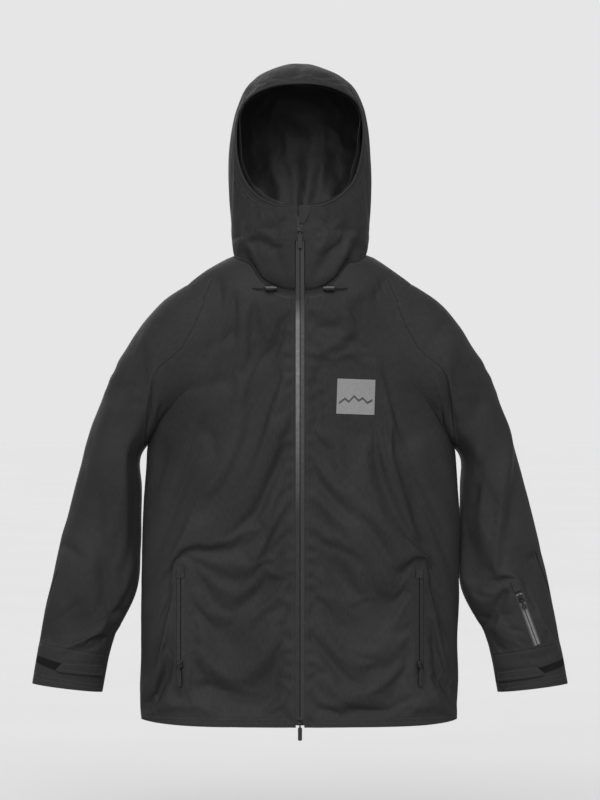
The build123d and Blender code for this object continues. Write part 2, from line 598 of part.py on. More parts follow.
def build_locks(parts):
    """Cord locks at the collar seam, each with a sprung button and a short run of cord to an eyelet."""
    lock_y = body_front_y(LOCK_X, LOCK_Z) - LOCK_R - LOCK_GAP
    radius, hole, thick = EYELET
    eyelets = []
    for side, name in ((1, "left"), (-1, "right")):
        at = Pos(side * LOCK_X, lock_y, LOCK_Z) * Rot(0, side * 90, 0)
        mouth = -LOCK_LENGTH / 2
        bore = Pos(0, 0, mouth + LOCK_BORE / 2) * Cylinder(BUTTON_R + BUTTON_FIT, LOCK_BORE)
        parts[f"cord_lock_{name}"] = at * (Cylinder(LOCK_R, LOCK_LENGTH) - bore)
        inside = LOCK_BORE - BUTTON_TRAVEL - BUTTON_ROOM
        middle = mouth + (inside - BUTTON_OUT) / 2
        parts[f"cord_lock_button_{name}"] = at * Pos(0, 0, middle) * Cylinder(BUTTON_R, inside + BUTTON_OUT)

        cloth = body_front_plane(side * EYELET_X, LOCK_Z)
        start = Vector(side * (LOCK_X + LOCK_LENGTH / 2 + CORD_GAP[0]), lock_y + 1, LOCK_Z)
        end = cloth.origin + cloth.z_dir * CORD_GAP[1]
        cord = Plane(origin=(start + end) / 2, z_dir=end - start) * Cylinder(CORD_R, (end - start).length)
        parts[f"hood_cord_{name}"] = cord
        ring = Cylinder(radius, thick) - Cylinder(hole, thick + 1)
        eyelets.append(cloth * Pos(0, 0, EYELET_OUT) * ring)
    parts["cord_eyelets"] = eyelets[0] + eyelets[1]


def body_front_y(x, z):
    """The body's front at x and z."""
    for (z0, a0, b0, back0), (z1, a1, b1, back1) in zip(BODY_RINGS, BODY_RINGS[1:]):
        if z0 <= z <= z1:
            share = (z - z0) / (z1 - z0)
            a, b, back = (p + share * (q - p) for p, q in ((a0, a1), (b0, b1), (back0, back1)))
            return FRONT_Y + back + b - b * math.sqrt(1 - (x / a) ** 2)
    raise ValueError(z)


def body_front_plane(x, z, step=2.0):
    """A plane on the body's front at x and z, its z axis pointing out of the cloth."""
    across = Vector(2 * step, body_front_y(x + step, z) - body_front_y(x - step, z), 0)
    upward = Vector(0, body_front_y(x, z + step) - body_front_y(x, z - step), 2 * step)
    return Plane(origin=(x, body_front_y(x, z), z), x_dir=across, z_dir=across.cross(upward))


def main():
    os.makedirs("parts", exist_ok=True)
    parts = {}
    hood = build_body(parts)
    build_hood(parts, hood)
    build_zips(parts)
    build_front_trim(parts)
    build_skirt(parts)
    build_loop(parts)
    build_locks(parts)
    for name, shape in parts.items():
        solids = shape.solids()
        print(name, len(solids), round(sum(s.volume for s in solids)))
        export_step(Compound(children=list(solids)) if len(solids) > 1 else solids[0], f"parts/{name}.step")


main()
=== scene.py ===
"""The looks of a hooded shell ski jacket: cloth shells with sewn folds, zips, cord locks and cuff tabs.

Metres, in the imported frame: +X the wearer's left, -Y the front, +Z up, the hanger loop at the origin.
"""

import json
import math
from contextlib import contextmanager

import bmesh
import bpy
import numpy as np
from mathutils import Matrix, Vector
from mathutils.bvhtree import BVHTree
from mathutils.noise import noise as smooth_noise


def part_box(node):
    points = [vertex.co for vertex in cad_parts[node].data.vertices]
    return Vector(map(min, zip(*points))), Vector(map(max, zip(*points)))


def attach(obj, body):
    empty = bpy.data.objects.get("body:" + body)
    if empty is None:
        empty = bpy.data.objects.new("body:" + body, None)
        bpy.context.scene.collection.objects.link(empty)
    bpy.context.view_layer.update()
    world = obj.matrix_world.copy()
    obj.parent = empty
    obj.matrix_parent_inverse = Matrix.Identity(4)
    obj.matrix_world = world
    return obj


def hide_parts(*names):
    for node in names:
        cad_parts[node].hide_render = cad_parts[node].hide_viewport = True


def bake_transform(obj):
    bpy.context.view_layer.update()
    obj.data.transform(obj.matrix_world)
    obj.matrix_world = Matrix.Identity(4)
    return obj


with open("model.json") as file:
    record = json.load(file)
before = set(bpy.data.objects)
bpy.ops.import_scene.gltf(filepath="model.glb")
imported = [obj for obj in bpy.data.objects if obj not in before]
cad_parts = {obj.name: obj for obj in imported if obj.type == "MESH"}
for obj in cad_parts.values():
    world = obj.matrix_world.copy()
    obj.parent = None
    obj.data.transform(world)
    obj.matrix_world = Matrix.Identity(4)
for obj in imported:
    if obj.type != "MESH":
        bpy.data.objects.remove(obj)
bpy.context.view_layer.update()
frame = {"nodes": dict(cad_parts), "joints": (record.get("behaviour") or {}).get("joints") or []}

MM = 0.001
NODES = frame["nodes"]

# Places read from the frame
BODY_LOW, BODY_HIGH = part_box("back_panel")
ZIP_LOW, ZIP_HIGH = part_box("main_zip_tape_right")
HALF_WIDTH = BODY_HIGH.x
FRONT_Y = ZIP_LOW.y
HALF_DEPTH = 84 * MM
MID_Y = FRONT_Y + HALF_DEPTH
HEM_Z = BODY_LOW.z
CHIN_Z = ZIP_HIGH.z + 14 * MM
ZIP_HALF = 7.5 * MM
SLEEVE_ZIP_ALONG = (-0.343687, -0.057413, 0.937328)
SLEEVE_ZIP_ACROSS = (0.921191, 0.173305, 0.348385)
SLEEVE_ZIP_MIDDLE = (0.3994, -0.1114, -0.605)
HAND_ZIP_X, HAND_ZIP_Z = 208 * MM, -608 * MM
HAND_ZIP_ACROSS = (0.948808, 0.315854)  # across and back, on the wearer's left
WINDOW_HALF = 7.6 * MM  # half the width of a small zip's opening
DOWN_ARM = (0.17, -0.985)  # out and down, along the forearm
TORSO = "torso"
SIDES = ((1, "left"), (-1, "right"))

# Cloth
CELL = 6 * MM  # size of a square of cloth before it is refined
CLOTH = 1.0 * MM  # shell thickness
THIN_CLOTH = 0.6 * MM  # lining thickness
FAR = 0.2  # farther than any cloth that a seam could join
NO_SEAM = 1.0  # a distance that keeps a seam from showing


def joint_place(name):
    """Where a joint's axis passes."""
    return next(j for j in frame["joints"] if j["name"] == name)["pos_m"]


# ---------------------------------------------------------------- shapes of the body, sleeve and hood

# Height, half width less the jacket's, half depth less the jacket's, how far the front stands back
# from the zip
BODY_RINGS = [
    (-790, -3, -2, 0),
    (-748, 0, 0, 0),
    (-600, 0, 0, 0),
    (-440, 0, 0, 0),
    (-300, -8, 1, 0),
    (-170, -19, 1, 0),
    (-90, -42, 0, 0),
    (-50, -66, -2, 0),
    (-8, -102, -9, 9),
    (20, -142, -16, 20),
    (36, -172, -24, 30),
]

# Outer edge, inner edge, half depth, distance behind the body's middle; across from the body's side
SLEEVE_RINGS = [
    ((-168, 6), (-152, -206), 50, 2),
    ((-16, -70), (-46, -262), 74, 8),
    ((42, -154), (-18, -290), 72, 14),
    ((86, -259), (3, -322), 68, 20),
    ((117, -370), (2, -378), 66, 24),
    ((148, -486), (1, -484), 62, 24),
    ((162, -548), (4, -544), 57, 22),
    ((184, -668), (53, -658), 44, 14),
    ((192, -720), (68, -735), 37, 8),
]

# Height, half width, half depth, how far the front stands back from the zip
HOOD_RINGS = [
    (-84, 106, 74, 14),
    (-33, 112.5, 84, 3),
    (-10, 115, 88.5, -0.5),
    (20, 117, 91, -1),
    (60, 121, 97, -2),
    (116, 126, 106, -2),
    (160, 127, 112, -5),
    (213, 125, 118, -12),
    (262, 120, 120, -20),
    (296, 112, 116, -24),
    (332, 94, 101, -16),
    (353, 66, 74, 6),
    (363, 41, 48, 30),
    (368, 22, 25, 50),
    (369.5, 4, 5, 69),
]

HOOD_HINGE_Y = joint_place("hood_tilt")[1]

# The face opening's edge from the side: distance in front of the hood's hinge, height
FACE_EDGE = [
    (260, 90), (100, 112), (88, 122), (72, 146), (56, 190), (46, 240),
    (45, 280), (64, 303), (92, 318), (112, 328), (150, 340), (300, 352),
]


def through(knots, at):
    """A smooth curve through rows of numbers, read at places given in the first column."""
    table = np.array(knots, float)
    order = np.argsort(table[:, 0])
    table = table[order]
    x, y = table[:, 0], table[:, 1:]
    at = np.clip(at, x[0], x[-1])
    slope = np.gradient(y, x, axis=0)
    i = np.clip(np.searchsorted(x, at) - 1, 0, len(x) - 2)
    width = x[i + 1] - x[i]
    t = ((at - x[i]) / width)[:, None]
    width = width[:, None]
    return (
        (2 * t**3 - 3 * t**2 + 1) * y[i]
        + (t**3 - 2 * t**2 + t) * width * slope[i]
        + (3 * t**2 - 2 * t**3) * y[i + 1]
        + (t**3 - t**2) * width * slope[i + 1]
    )


def rounded(angle, power=2.0):
    """A point on a circle, squared off where power is over 2: across and ahead."""
    s, c = np.sin(angle), np.cos(angle)
    return np.sign(s) * np.abs(s) ** (2 / power), np.sign(c) * np.abs(c) ** (2 / power)


def body_points(z, angle, inset=0.0):
    """The body's surface: heights z by angles round from the centre front towards the wearer's left."""
    ring = through(BODY_RINGS, z / MM)
    half_width = (HALF_WIDTH + ring[:, 0:1] * MM) - inset
    half_depth = (HALF_DEPTH + ring[:, 1:2] * MM) - inset
    front = FRONT_Y + ring[:, 2:3] * MM + inset
    across, ahead = rounded(angle[None, :])
    x = half_width * across
    y = front + half_depth * (1 - ahead)
    return np.stack([x, y, np.broadcast_to(z[:, None], x.shape)], axis=-1)


def sleeve_points(side, share, angle, inset=0.0):
    """A sleeve's surface: shares of the way down it by angles round from its front."""
    rows = np.array([(*outer, *inner, *rest) for outer, inner, *rest in SLEEVE_RINGS], float)
    middles = (rows[:, 0:2] + rows[:, 2:4]) / 2
    reached = np.r_[0, np.cumsum(np.hypot(*np.diff(middles, axis=0).T))]
    ring = through(np.column_stack([reached / reached[-1], rows]), share) * MM
    outer = np.stack([HALF_WIDTH + ring[:, 0], 0 * ring[:, 0], ring[:, 1]], axis=-1)
    inner = np.stack([HALF_WIDTH + ring[:, 2], 0 * ring[:, 0], ring[:, 3]], axis=-1)
    middle = (outer + inner) / 2
    middle[:, 1] = MID_Y + ring[:, 5]
    half = (outer - inner) / 2
    size = np.linalg.norm(half, axis=1)[:, None]
    half *= (size - inset) / size
    across, ahead = rounded(angle[None, :])
    points = middle[:, None, :] + half[:, None, :] * across[:, :, None]
    points[:, :, 1] -= ahead * (ring[:, 4:5] - inset)
    points[:, :, 0] *= side
    return points


def hood_points(share, angle, inset=0.0):
    """The hood's surface from inside the neck seam up to the crown."""
    rows = np.array(HOOD_RINGS, float)
    steps = np.r_[0, np.cumsum(np.hypot(np.diff(rows[:, 0]), np.diff(rows[:, 1])))]
    ring = through(np.column_stack([steps / steps[-1], rows]), share) * MM
    shrink = np.maximum(ring[:, 1:3] - inset, 0.5 * MM)
    across, ahead = rounded(angle[None, :], 2.12)
    x = shrink[:, 0:1] * across
    y = FRONT_Y + ring[:, 3:4] + ring[:, 2:3] - shrink[:, 1:2] * ahead
    z = ring[:, 0] - inset * np.clip((ring[:, 0] - 0.30) / 0.06, 0, 1)
    return np.stack([x, y, np.broadcast_to(z[:, None], x.shape)], axis=-1)


# ---------------------------------------------------------------- folds

# Each fold as it is seen from the front: depth (less than 0 stands proud), width, and its run of x, z
BODY_FOLDS = [
    (3.6, 11, [(-16, -74), (-68, -86), (-119, -100), (-158, -118), (-198, -154)]),
    (-2.4, 15, [(-30, -96), (-90, -112), (-140, -132), (-190, -170)]),
    (4.2, 12, [(-24, -112), (-60, -135), (-98, -162), (-128, -182), (-175, -188), (-217, -200)]),
    (-2.2, 18, [(-50, -160), (-100, -195), (-150, -225), (-200, -250)]),
    (3.4, 10, [(-184, -262), (-160, -284), (-158, -306), (-178, -328)]),
    (3.6, 11, [(-240, -284), (-256, -350), (-272, -402)]),
    (4.4, 13, [(-188, -290), (-210, -350), (-234, -417), (-268, -504)]),
    (-3.2, 16, [(-156, -338), (-186, -400), (-214, -470), (-248, -530)]),
    (2.2, 22, [(-110, -330), (-140, -430), (-168, -520)]),
    (2.6, 16, [(-25, -306), (-44, -340), (-72, -382), (-80, -432)]),
    (4.4, 12, [(-26, -536), (-58, -536), (-88, -560), (-112, -584)]),
    (-2.6, 14, [(-44, -566), (-80, -590), (-104, -628)]),
    (2.2, 24, [(-120, -590), (-128, -660), (-120, -700)]),
    (4.8, 13, [(-218, -676), (-242, -711), (-257, -738), (-270, -760)]),
    (-3.0, 13, [(-236, -680), (-262, -712), (-276, -734)]),
    (2.8, 14, [(-192, -732), (-157, -718), (-120, -732)]),
    (2.4, 13, [(-24, -618), (-40, -680), (-48, -732)]),
    (2.4, 13, [(34, -158), (29, -204), (34, -290)]),
    (3.2, 15, [(84, -270), (127, -288), (170, -297), (204, -284), (230, -270)]),
    (-2.0, 20, [(60, -300), (96, -350), (130, -396)]),
    (2.8, 12, [(8, -332), (40, -370), (83, -409)]),
    (4.8, 12, [(78, -406), (110, -428), (138, -467), (157, -506), (184, -554)]),
    (-3.4, 13, [(96, -398), (134, -428), (164, -470), (184, -516)]),
    (3.8, 11, [(90, -482), (118, -506), (128, -545), (150, -584)]),
    (-2.6, 11, [(70, -488), (98, -518), (108, -556)]),
    (2.8, 10, [(45, -408), (40, -450)]),
    (2.4, 20, [(52, -516), (110, -508)]),
    (3.2, 12, [(168, -366), (203, -352), (206, -428), (216, -476)]),
    (4.0, 12, [(214, -368), (246, -448), (262, -492), (277, -546)]),
    (-2.8, 12, [(238, -380), (264, -440), (276, -480)]),
    (3.8, 11, [(230, -546), (254, -592), (272, -646)]),
    (-2.4, 13, [(216, -560), (236, -606), (258, -656)]),
    (3.8, 11, [(230, -700), (254, -715), (272, -732)]),
    (3.0, 16, [(74, -764), (104, -756), (132, -758)]),
    (2.6, 12, [(7, -622), (40, -654), (66, -690)]),
    (-2.0, 16, [(120, -640), (142, -610), (140, -660)]),
    (2.2, 18, [(226, -110), (240, -96), (258, -76)]),
]

SLEEVE_FOLDS = {
    -1: [
        (6.0, 12, [(-362, -372), (-355, -490), (-340, -576), (-322, -640)]),
        (-5.5, 16, [(-320, -300), (-314, -380), (-312, -520)]),
        (5.0, 11, [(-294, -300), (-290, -400), (-288, -480)]),
        (3.0, 20, [(-388, -300), (-384, -380), (-392, -440)]),
        (5.0, 8, [(-330, -592), (-300, -590)]),
        (4.2, 10, [(-324, -594), (-300, -560), (-286, -530)]),
        (4.6, 9, [(-428, -474), (-410, -478), (-392, -490)]),
        (5.2, 12, [(-264, -158), (-298, -186), (-330, -212)]),
        (-3.0, 14, [(-284, -140), (-320, -176), (-346, -210)]),
        (3.2, 14, [(-300, -230), (-322, -262), (-336, -310)]),
        (2.6, 22, [(-420, -540), (-404, -600), (-398, -650)]),
        (2.8, 12, [(-352, -648), (-376, -662), (-404, -664)]),
    ],
    1: [
        (-6.5, 9, [(366, -230), (368, -320), (357, -409), (350, -470), (346, -520)]),
        (5.0, 18, [(296, -300), (296, -400), (302, -500), (322, -590)]),
        (5.2, 13, [(334, -312), (308, -374), (293, -430)]),
        (4.0, 14, [(384, -300), (378, -380), (372, -450)]),
        (-2.6, 14, [(310, -330), (330, -300)]),
        (3.6, 14, [(392, -470), (404, -530), (402, -580)]),
        (4.0, 12, [(320, -626), (346, -652), (368, -676)]),
        (4.6, 9, [(426, -490), (408, -500)]),
        (4.2, 10, [(250, -176), (262, -220), (270, -262)]),
        (3.6, 13, [(262, -76), (240, -104), (232, -124)]),
        (-2.6, 14, [(284, -96), (266, -130), (262, -160)]),
        (3.2, 16, [(330, -190), (318, -230), (300, -262)]),
        (2.6, 14, [(300, -590), (322, -604), (346, -606)]),
    ],
}

HOOD_FOLDS = [
    (6.0, 9, [(-108, 60), (-90, 14), (-76, -14)]),
    (-3.4, 8, [(-100, 92), (-90, 50), (-78, 20)]),
    (3.0, 12, [(-80, 72), (-44, 38), (-22, -8)]),
    (3.2, 11, [(-118, 150), (-114, 110), (-106, 70)]),
    (7.0, 9, [(112, 74), (94, 30), (76, -8), (62, -24)]),
    (-3.6, 9, [(96, 76), (78, 32), (60, -4)]),
    (3.6, 11, [(73, 70), (43, 18), (16, -10)]),
    (3.0, 10, [(118, 150), (117, 110), (113, 80)]),
    (-2.6, 11, [(54, 78), (30, 30)]),
    (2.8, 12, [(-20, 96), (-44, 82), (-70, 88)]),
    (2.6, 12, [(20, 100), (48, 90), (76, 100)]),
    (2.4, 8, [(4, 366), (-4, 350), (-12, 336)]),
    (2.4, 14, [(-84, 330), (-100, 300), (-112, 260)]),
    (2.0, 14, [(86, 330), (104, 300), (114, 250)]),
]

# The same kind of list for the back, seen from the front
BACK_FOLDS = [
    (4.0, 16, [(-210, -250), (-150, -330), (-70, -390)]),
    (-3.0, 18, [(-220, -300), (-150, -390), (-60, -440)]),
    (4.0, 16, [(212, -240), (150, -320), (80, -372)]),
    (-3.0, 18, [(224, -300), (160, -380), (90, -430)]),
    (3.4, 18, [(-180, -90), (-90, -112), (0, -118), (90, -112), (180, -90)]),
    (3.0, 20, [(-120, -500), (-60, -560), (-40, -640)]),
    (3.4, 18, [(140, -470), (90, -560), (84, -660)]),
    (-2.6, 18, [(110, -500), (62, -590), (56, -680)]),
    (3.0, 16, [(-250, -420), (-200, -500), (-180, -600)]),
    (2.6, 20, [(20, -200), (24, -320), (10, -420)]),
    (3.4, 14, [(-262, -600), (-210, -650), (-150, -670)]),
    (3.4, 14, [(262, -570), (214, -640), (170, -690)]),
]


def run_steps(run):
    """A run's points in metres, the length of each step and how far along it each point is."""
    run = np.array(run, float) * MM
    lengths = np.hypot(*np.diff(run, axis=0).T)
    return run, lengths, np.r_[0, np.cumsum(lengths)]


def to_run(x, z, run):
    """Distance from points to a run, how far along it the nearest place is, and its length."""
    run, lengths, reached = run_steps(run)
    nearest = np.full(x.shape, 1e9)
    along = np.zeros_like(x)
    for (x0, z0), (x1, z1), length, start in zip(run, run[1:], lengths, reached):
        t = np.clip(((x - x0) * (x1 - x0) + (z - z0) * (z1 - z0)) / length**2, 0, 1)
        distance = np.hypot(x - x0 - t * (x1 - x0), z - z0 - t * (z1 - z0))
        closer = distance < nearest
        nearest = np.where(closer, distance, nearest)
        along = np.where(closer, start + t * length, along)
    return nearest, along, reached[-1]


def signed_to_run(x, z, run):
    """Distance from points to a run, more than 0 on its left as one follows it, and how far along it."""
    distance, along, _ = to_run(x, z, run)
    run, _, reached = run_steps(run)
    step = np.clip(np.searchsorted(reached, along - 1e-9) - 1, 0, len(run) - 2)
    (x0, z0), (x1, z1) = (np.moveaxis(run[i], -1, 0) for i in (step, step + 1))
    left = (x1 - x0) * (z - z0) - (z1 - z0) * (x - x0) >= 0
    return distance * np.where(left, 1.0, -1.0), along


def fold_depth(x, z, folds):
    """How far the folds sink the cloth at points seen from the front."""
    depth = np.zeros_like(x)
    for sink, width, run in folds:
        distance, along, length = to_run(x, z, run)
        taper = np.sin(np.pi * np.clip(0.06 + 0.88 * along / length, 0, 1)) ** 0.7
        depth += sink * MM * np.exp(-((distance / (width * MM)) ** 2)) * taper
    return depth


def grid_normals(points, closed):
    """Outward normals of a grid of points that runs down (rows) and round towards the left (columns)."""
    if closed:
        round_ = np.roll(points, -1, 1) - np.roll(points, 1, 1)
    else:
        round_ = np.gradient(points, axis=1)
    down = np.gradient(points, axis=0)
    normal = np.cross(round_, down)
    return normal / np.maximum(np.linalg.norm(normal, axis=-1, keepdims=True), 1e-12)


def front_and_back(normal, sharpness):
    """1 where the cloth faces forward and where it faces back, fading out towards the sides."""
    facing = normal[:, :, 1] * sharpness
    return np.clip(-facing, 0, 1), np.clip(facing, 0, 1)


def crumple(points, sizes, seed):
    """Soft random unevenness: for each (wavelength, height) in millimetres, a layer of smooth noise."""
    flat = points.reshape(-1, 3)
    total = np.zeros(len(flat))
    for wavelength, height in sizes:
        scale = 1 / (wavelength * MM)
        shift = Vector((seed * 7.3, seed * 1.7, wavelength))
        total += height * MM * np.array([
            smooth_noise(Vector((p[0] * scale, p[1] * scale, p[2] * scale * 0.7)) + shift) for p in flat
        ])
    return total.reshape(points.shape[:-1])


# ---------------------------------------------------------------- quiet places and seams

# Runs beside which the cloth lies flat, as seen from the front: radius, how strongly, and x, z along it
CALM_BODY = [
    (17, 1.0, [(208, -512), (208, -706)]),
    (17, 1.0, [(-208, -512), (-208, -706)]),
    (48, 1.0, [(97, -196), (97, -236)]),
    (17, 1.0, [(50, -27), (86, -27)]),
    (17, 1.0, [(-50, -27), (-86, -27)]),
    (24, 0.85, [(-112, -8), (-60, -30), (0, -38), (60, -30), (112, -8)]),
]
CALM_SLEEVE = [
    (15, 1.0, [(345, -700), (400, -694), (470, -682)]),
    (17, 1.0, [(-345, -700), (-400, -694), (-470, -682)]),
    (16, 1.0, [(377, -546), (418, -656)]),
]


def looseness(x, z, spots):
    """1 where the cloth may fold and 0 where something is sewn to it."""
    loose = np.ones_like(x)
    for radius, strength, run in spots:
        distance = to_run(x, z, run)[0]
        loose *= 1 - strength * np.exp(-((distance / (radius * MM)) ** 4))
    return loose


def set_point_values(thing, **values):
    """Stores a number for each point, for the material to read."""
    for name, value in values.items():
        layer = thing.data.attributes.get(name) or thing.data.attributes.new(name, "FLOAT", "POINT")
        layer.data.foreach_set("value", np.ascontiguousarray(value, dtype=np.float32).ravel())


def mark_seams(thing, seams):
    """Seam lines for the cloth's material, from rows of distance, place along, groove and stitched."""
    distance, along, groove, stitched = (
        np.array(column, float) for column in zip(*(np.broadcast_arrays(*seam) for seam in seams))
    )
    nearest = np.argmin(np.abs(distance), axis=0)
    columns = np.arange(distance.shape[1])
    distance = distance[nearest, columns]
    beside = np.abs(distance) < 1.6 * CELL  # so that no line shows where one seam's reach meets another's
    groove, stitched = groove[nearest, columns] * beside, stitched[nearest, columns] * beside
    set_point_values(thing, seam_distance=distance / MM, seam_along=along[nearest, columns] / MM,
                     seam_groove=groove, seam_stitched=stitched)


def places(thing, kind="co"):
    """Each point's place, or its normal."""
    found = np.zeros(len(thing.data.vertices) * 3)
    thing.data.vertices.foreach_get(kind, found)
    return found.reshape(-1, 3)


def put(thing, co):
    """Moves each point to its place."""
    thing.data.vertices.foreach_set("co", np.ascontiguousarray(co).ravel())
    thing.data.update()


def tree_of(*things):
    """A search tree of the meshes' faces."""
    co, faces, first = [], [], 0
    for thing in things:
        co += [v.co.copy() for v in thing.data.vertices]
        faces += [[first + i for i in f.vertices] for f in thing.data.polygons]
        first = len(co)
    return BVHTree.FromPolygons(co, faces)


def gap_to(thing, tree):
    """Distance from each point to another cloth, less than 0 inside it."""
    gap = np.full(len(thing.data.vertices), FAR)
    for i, v in enumerate(thing.data.vertices):
        where, normal, _, distance = tree.find_nearest(v.co, FAR)
        if distance is not None:
            gap[i] = distance if (v.co - where).dot(normal) >= 0 else -distance
    return gap


def eased(gap, radius):
    """How far cloth stands out beside a seam to run smoothly on into the cloth on its other side."""
    out = radius / 4 * np.clip(1 - gap / radius, 0, 1) ** 2
    return np.where(gap < 0, radius / 4 + gap * 0.6, out)


# ---------------------------------------------------------------- making and finishing meshes


def cloth_mesh(name, points, lengths, closed=False):
    """A mesh of a grid of points, its UV map giving metres across and down the cloth."""
    rows, columns = points.shape[:2]
    mesh = bpy.data.meshes.new(name)
    last = columns if closed else columns - 1
    faces = []
    for r in range(rows - 1):
        for c in range(last):
            d = (c + 1) % columns
            below = (r + 1) * columns
            faces.append((r * columns + c, below + c, below + d, r * columns + d))
    mesh.from_pydata(points.reshape(-1, 3).tolist(), [], faces)
    across, down = lengths
    layer = mesh.uv_layers.new(name="cloth")
    uv = np.zeros((len(faces), 4, 2))
    c = np.tile(np.arange(last), rows - 1)
    r = np.repeat(np.arange(rows - 1), last)
    for corner, (dr, dc) in enumerate(((0, 0), (1, 0), (1, 1), (0, 1))):
        uv[:, corner, 0] = (c + dc) / last * across
        uv[:, corner, 1] = (r + dr) / (rows - 1) * down
    layer.data.foreach_set("uv", uv.ravel())
    return shown(name, mesh)


def shown(name, data):
    """An object of a mesh, curve, light or camera, in the scene."""
    thing = bpy.data.objects.new(name, data)
    bpy.context.scene.collection.objects.link(thing)
    return thing


def evaluated_mesh(thing):
    """A mesh of the object as its modifiers or its curve shape make it."""
    return bpy.data.meshes.new_from_object(thing.evaluated_get(bpy.context.evaluated_depsgraph_get()))


def apply_modifiers(thing):
    """Makes the object's modifiers part of its mesh."""
    mesh = evaluated_mesh(thing)
    thing.modifiers.clear()
    old = thing.data
    thing.data = mesh
    mesh.name = thing.name
    bpy.data.meshes.remove(old)
    return thing


@contextmanager
def opened(thing):
    """The object's mesh open for editing, written back at the end."""
    bm = bmesh.new()
    bm.from_mesh(thing.data)
    yield bm
    bm.to_mesh(thing.data)
    bm.free()


def slice_all(bm, point, normal, **settings):
    """Cuts every face on a plane."""
    everything = bm.verts[:] + bm.edges[:] + bm.faces[:]
    bmesh.ops.bisect_plane(bm, geom=everything, plane_co=point, plane_no=normal, **settings)


def keep_faces(thing, wanted):
    """Drops the faces whose middle fails the test."""
    with opened(thing) as bm:
        drop = [f for f in bm.faces if not wanted(f.calc_center_median())]
        bmesh.ops.delete(bm, geom=drop, context="FACES")
    return thing


def cut_at(thing, point, normal):
    """Cuts the object on a plane and drops what is on the normal's side."""
    with opened(thing) as bm:
        slice_all(bm, point, normal, clear_outer=True)
    return thing


def cut_window(thing, middle, along, across, half_length, half_width):
    """Cuts a rectangular opening for a zip out of the cloth."""
    middle, along, across = Vector(middle), Vector(along).normalized(), Vector(across).normalized()
    reach = max(half_length, half_width) + 2 * CELL
    edges = ((along, half_length), (along, -half_length), (across, half_width), (across, -half_width))
    with opened(thing) as bm:
        for direction, half in edges:
            near = [f for f in bm.faces if (f.calc_center_median() - middle).length < reach]
            geom = list({e for f in near for e in f.edges} | {v for f in near for v in f.verts} | set(near))
            bmesh.ops.bisect_plane(bm, geom=geom, plane_co=middle + direction * half, plane_no=direction)
        drop = []
        for f in bm.faces:
            off = f.calc_center_median() - middle
            inside = abs(off.dot(along)) < half_length and abs(off.dot(across)) < half_width
            if inside and off.length < reach:
                drop.append(f)
        bmesh.ops.delete(bm, geom=drop, context="FACES")


def copy_of(thing, name):
    """A piece that starts as a copy of another's mesh."""
    return shown(name, thing.data.copy())


def finish_cloth(thing, material, thickness=CLOTH, refine=1):
    """Refines the cloth once, gives it its thickness inwards, and sets smooth shading."""
    if refine:
        finer = thing.modifiers.new("finer", "SUBSURF")
        finer.levels = finer.render_levels = refine
        finer.uv_smooth = "PRESERVE_BOUNDARIES"
        finer.boundary_smooth = "PRESERVE_CORNERS"
    if thickness:
        thick = thing.modifiers.new("thick", "SOLIDIFY")
        thick.thickness = thickness
        thick.offset = -1
    apply_modifiers(thing)
    thing.data.materials.clear()
    thing.data.materials.append(material)
    thing.data.shade_smooth()
    thing.data.set_sharp_from_angle(angle=math.radians(60))
    return thing


def tube(name, line, radius, material):
    """A rolled edge along a line of points."""
    curve = bpy.data.curves.new(name, "CURVE")
    curve.dimensions = "3D"
    curve.bevel_depth = radius
    curve.bevel_resolution = 2
    curve.use_fill_caps = True
    spline = curve.splines.new("POLY")
    spline.points.add(len(line) - 1)
    for point, at in zip(spline.points, line):
        point.co = (*at, 1)
    holder = shown(name + "_line", curve)
    mesh = evaluated_mesh(holder)
    bpy.data.objects.remove(holder)
    mesh.materials.clear()
    mesh.materials.append(material)
    mesh.shade_smooth()
    return shown(name, mesh)


# ---------------------------------------------------------------- materials


def srgb(code):
    """Linear colour from an sRGB hex value."""
    parts = [int(code[i:i + 2], 16) / 255 for i in (1, 3, 5)]
    return [p / 12.92 if p <= 0.04045 else ((p + 0.055) / 1.055) ** 2.4 for p in parts] + [1.0]


def add(material, kind, inputs=None, out=None, **settings):
    """One shader node: its settings, and for each input a value or another node's output. Gives the output
    called out, or else its first one in use."""
    tree = material.node_tree
    made = tree.nodes.new("ShaderNode" + kind)
    for key, value in settings.items():
        setattr(made, key, value)
    for key, value in (inputs or {}).items():
        if isinstance(value, bpy.types.NodeSocket):
            tree.links.new(value, made.inputs[key])
        else:
            made.inputs[key].default_value = value
    return made.outputs[out] if out else next(output for output in made.outputs if output.enabled)


def surface(name, **shader):
    """A material with a Principled shader and its fixed values."""
    material = bpy.data.materials.new(name)
    material.use_nodes = True
    principled = material.node_tree.nodes["Principled BSDF"]
    for key, value in shader.items():
        principled.inputs[key.replace("_", " ")].default_value = value
    return material, principled


def ramp(material, fac, stops):
    """A colour ramp through (position, hex) stops."""
    colour = add(material, "ValToRGB", {"Fac": fac})
    for element, (position, code) in zip(colour.node.color_ramp.elements, stops):
        element.position, element.color = position, srgb(code)
    return colour


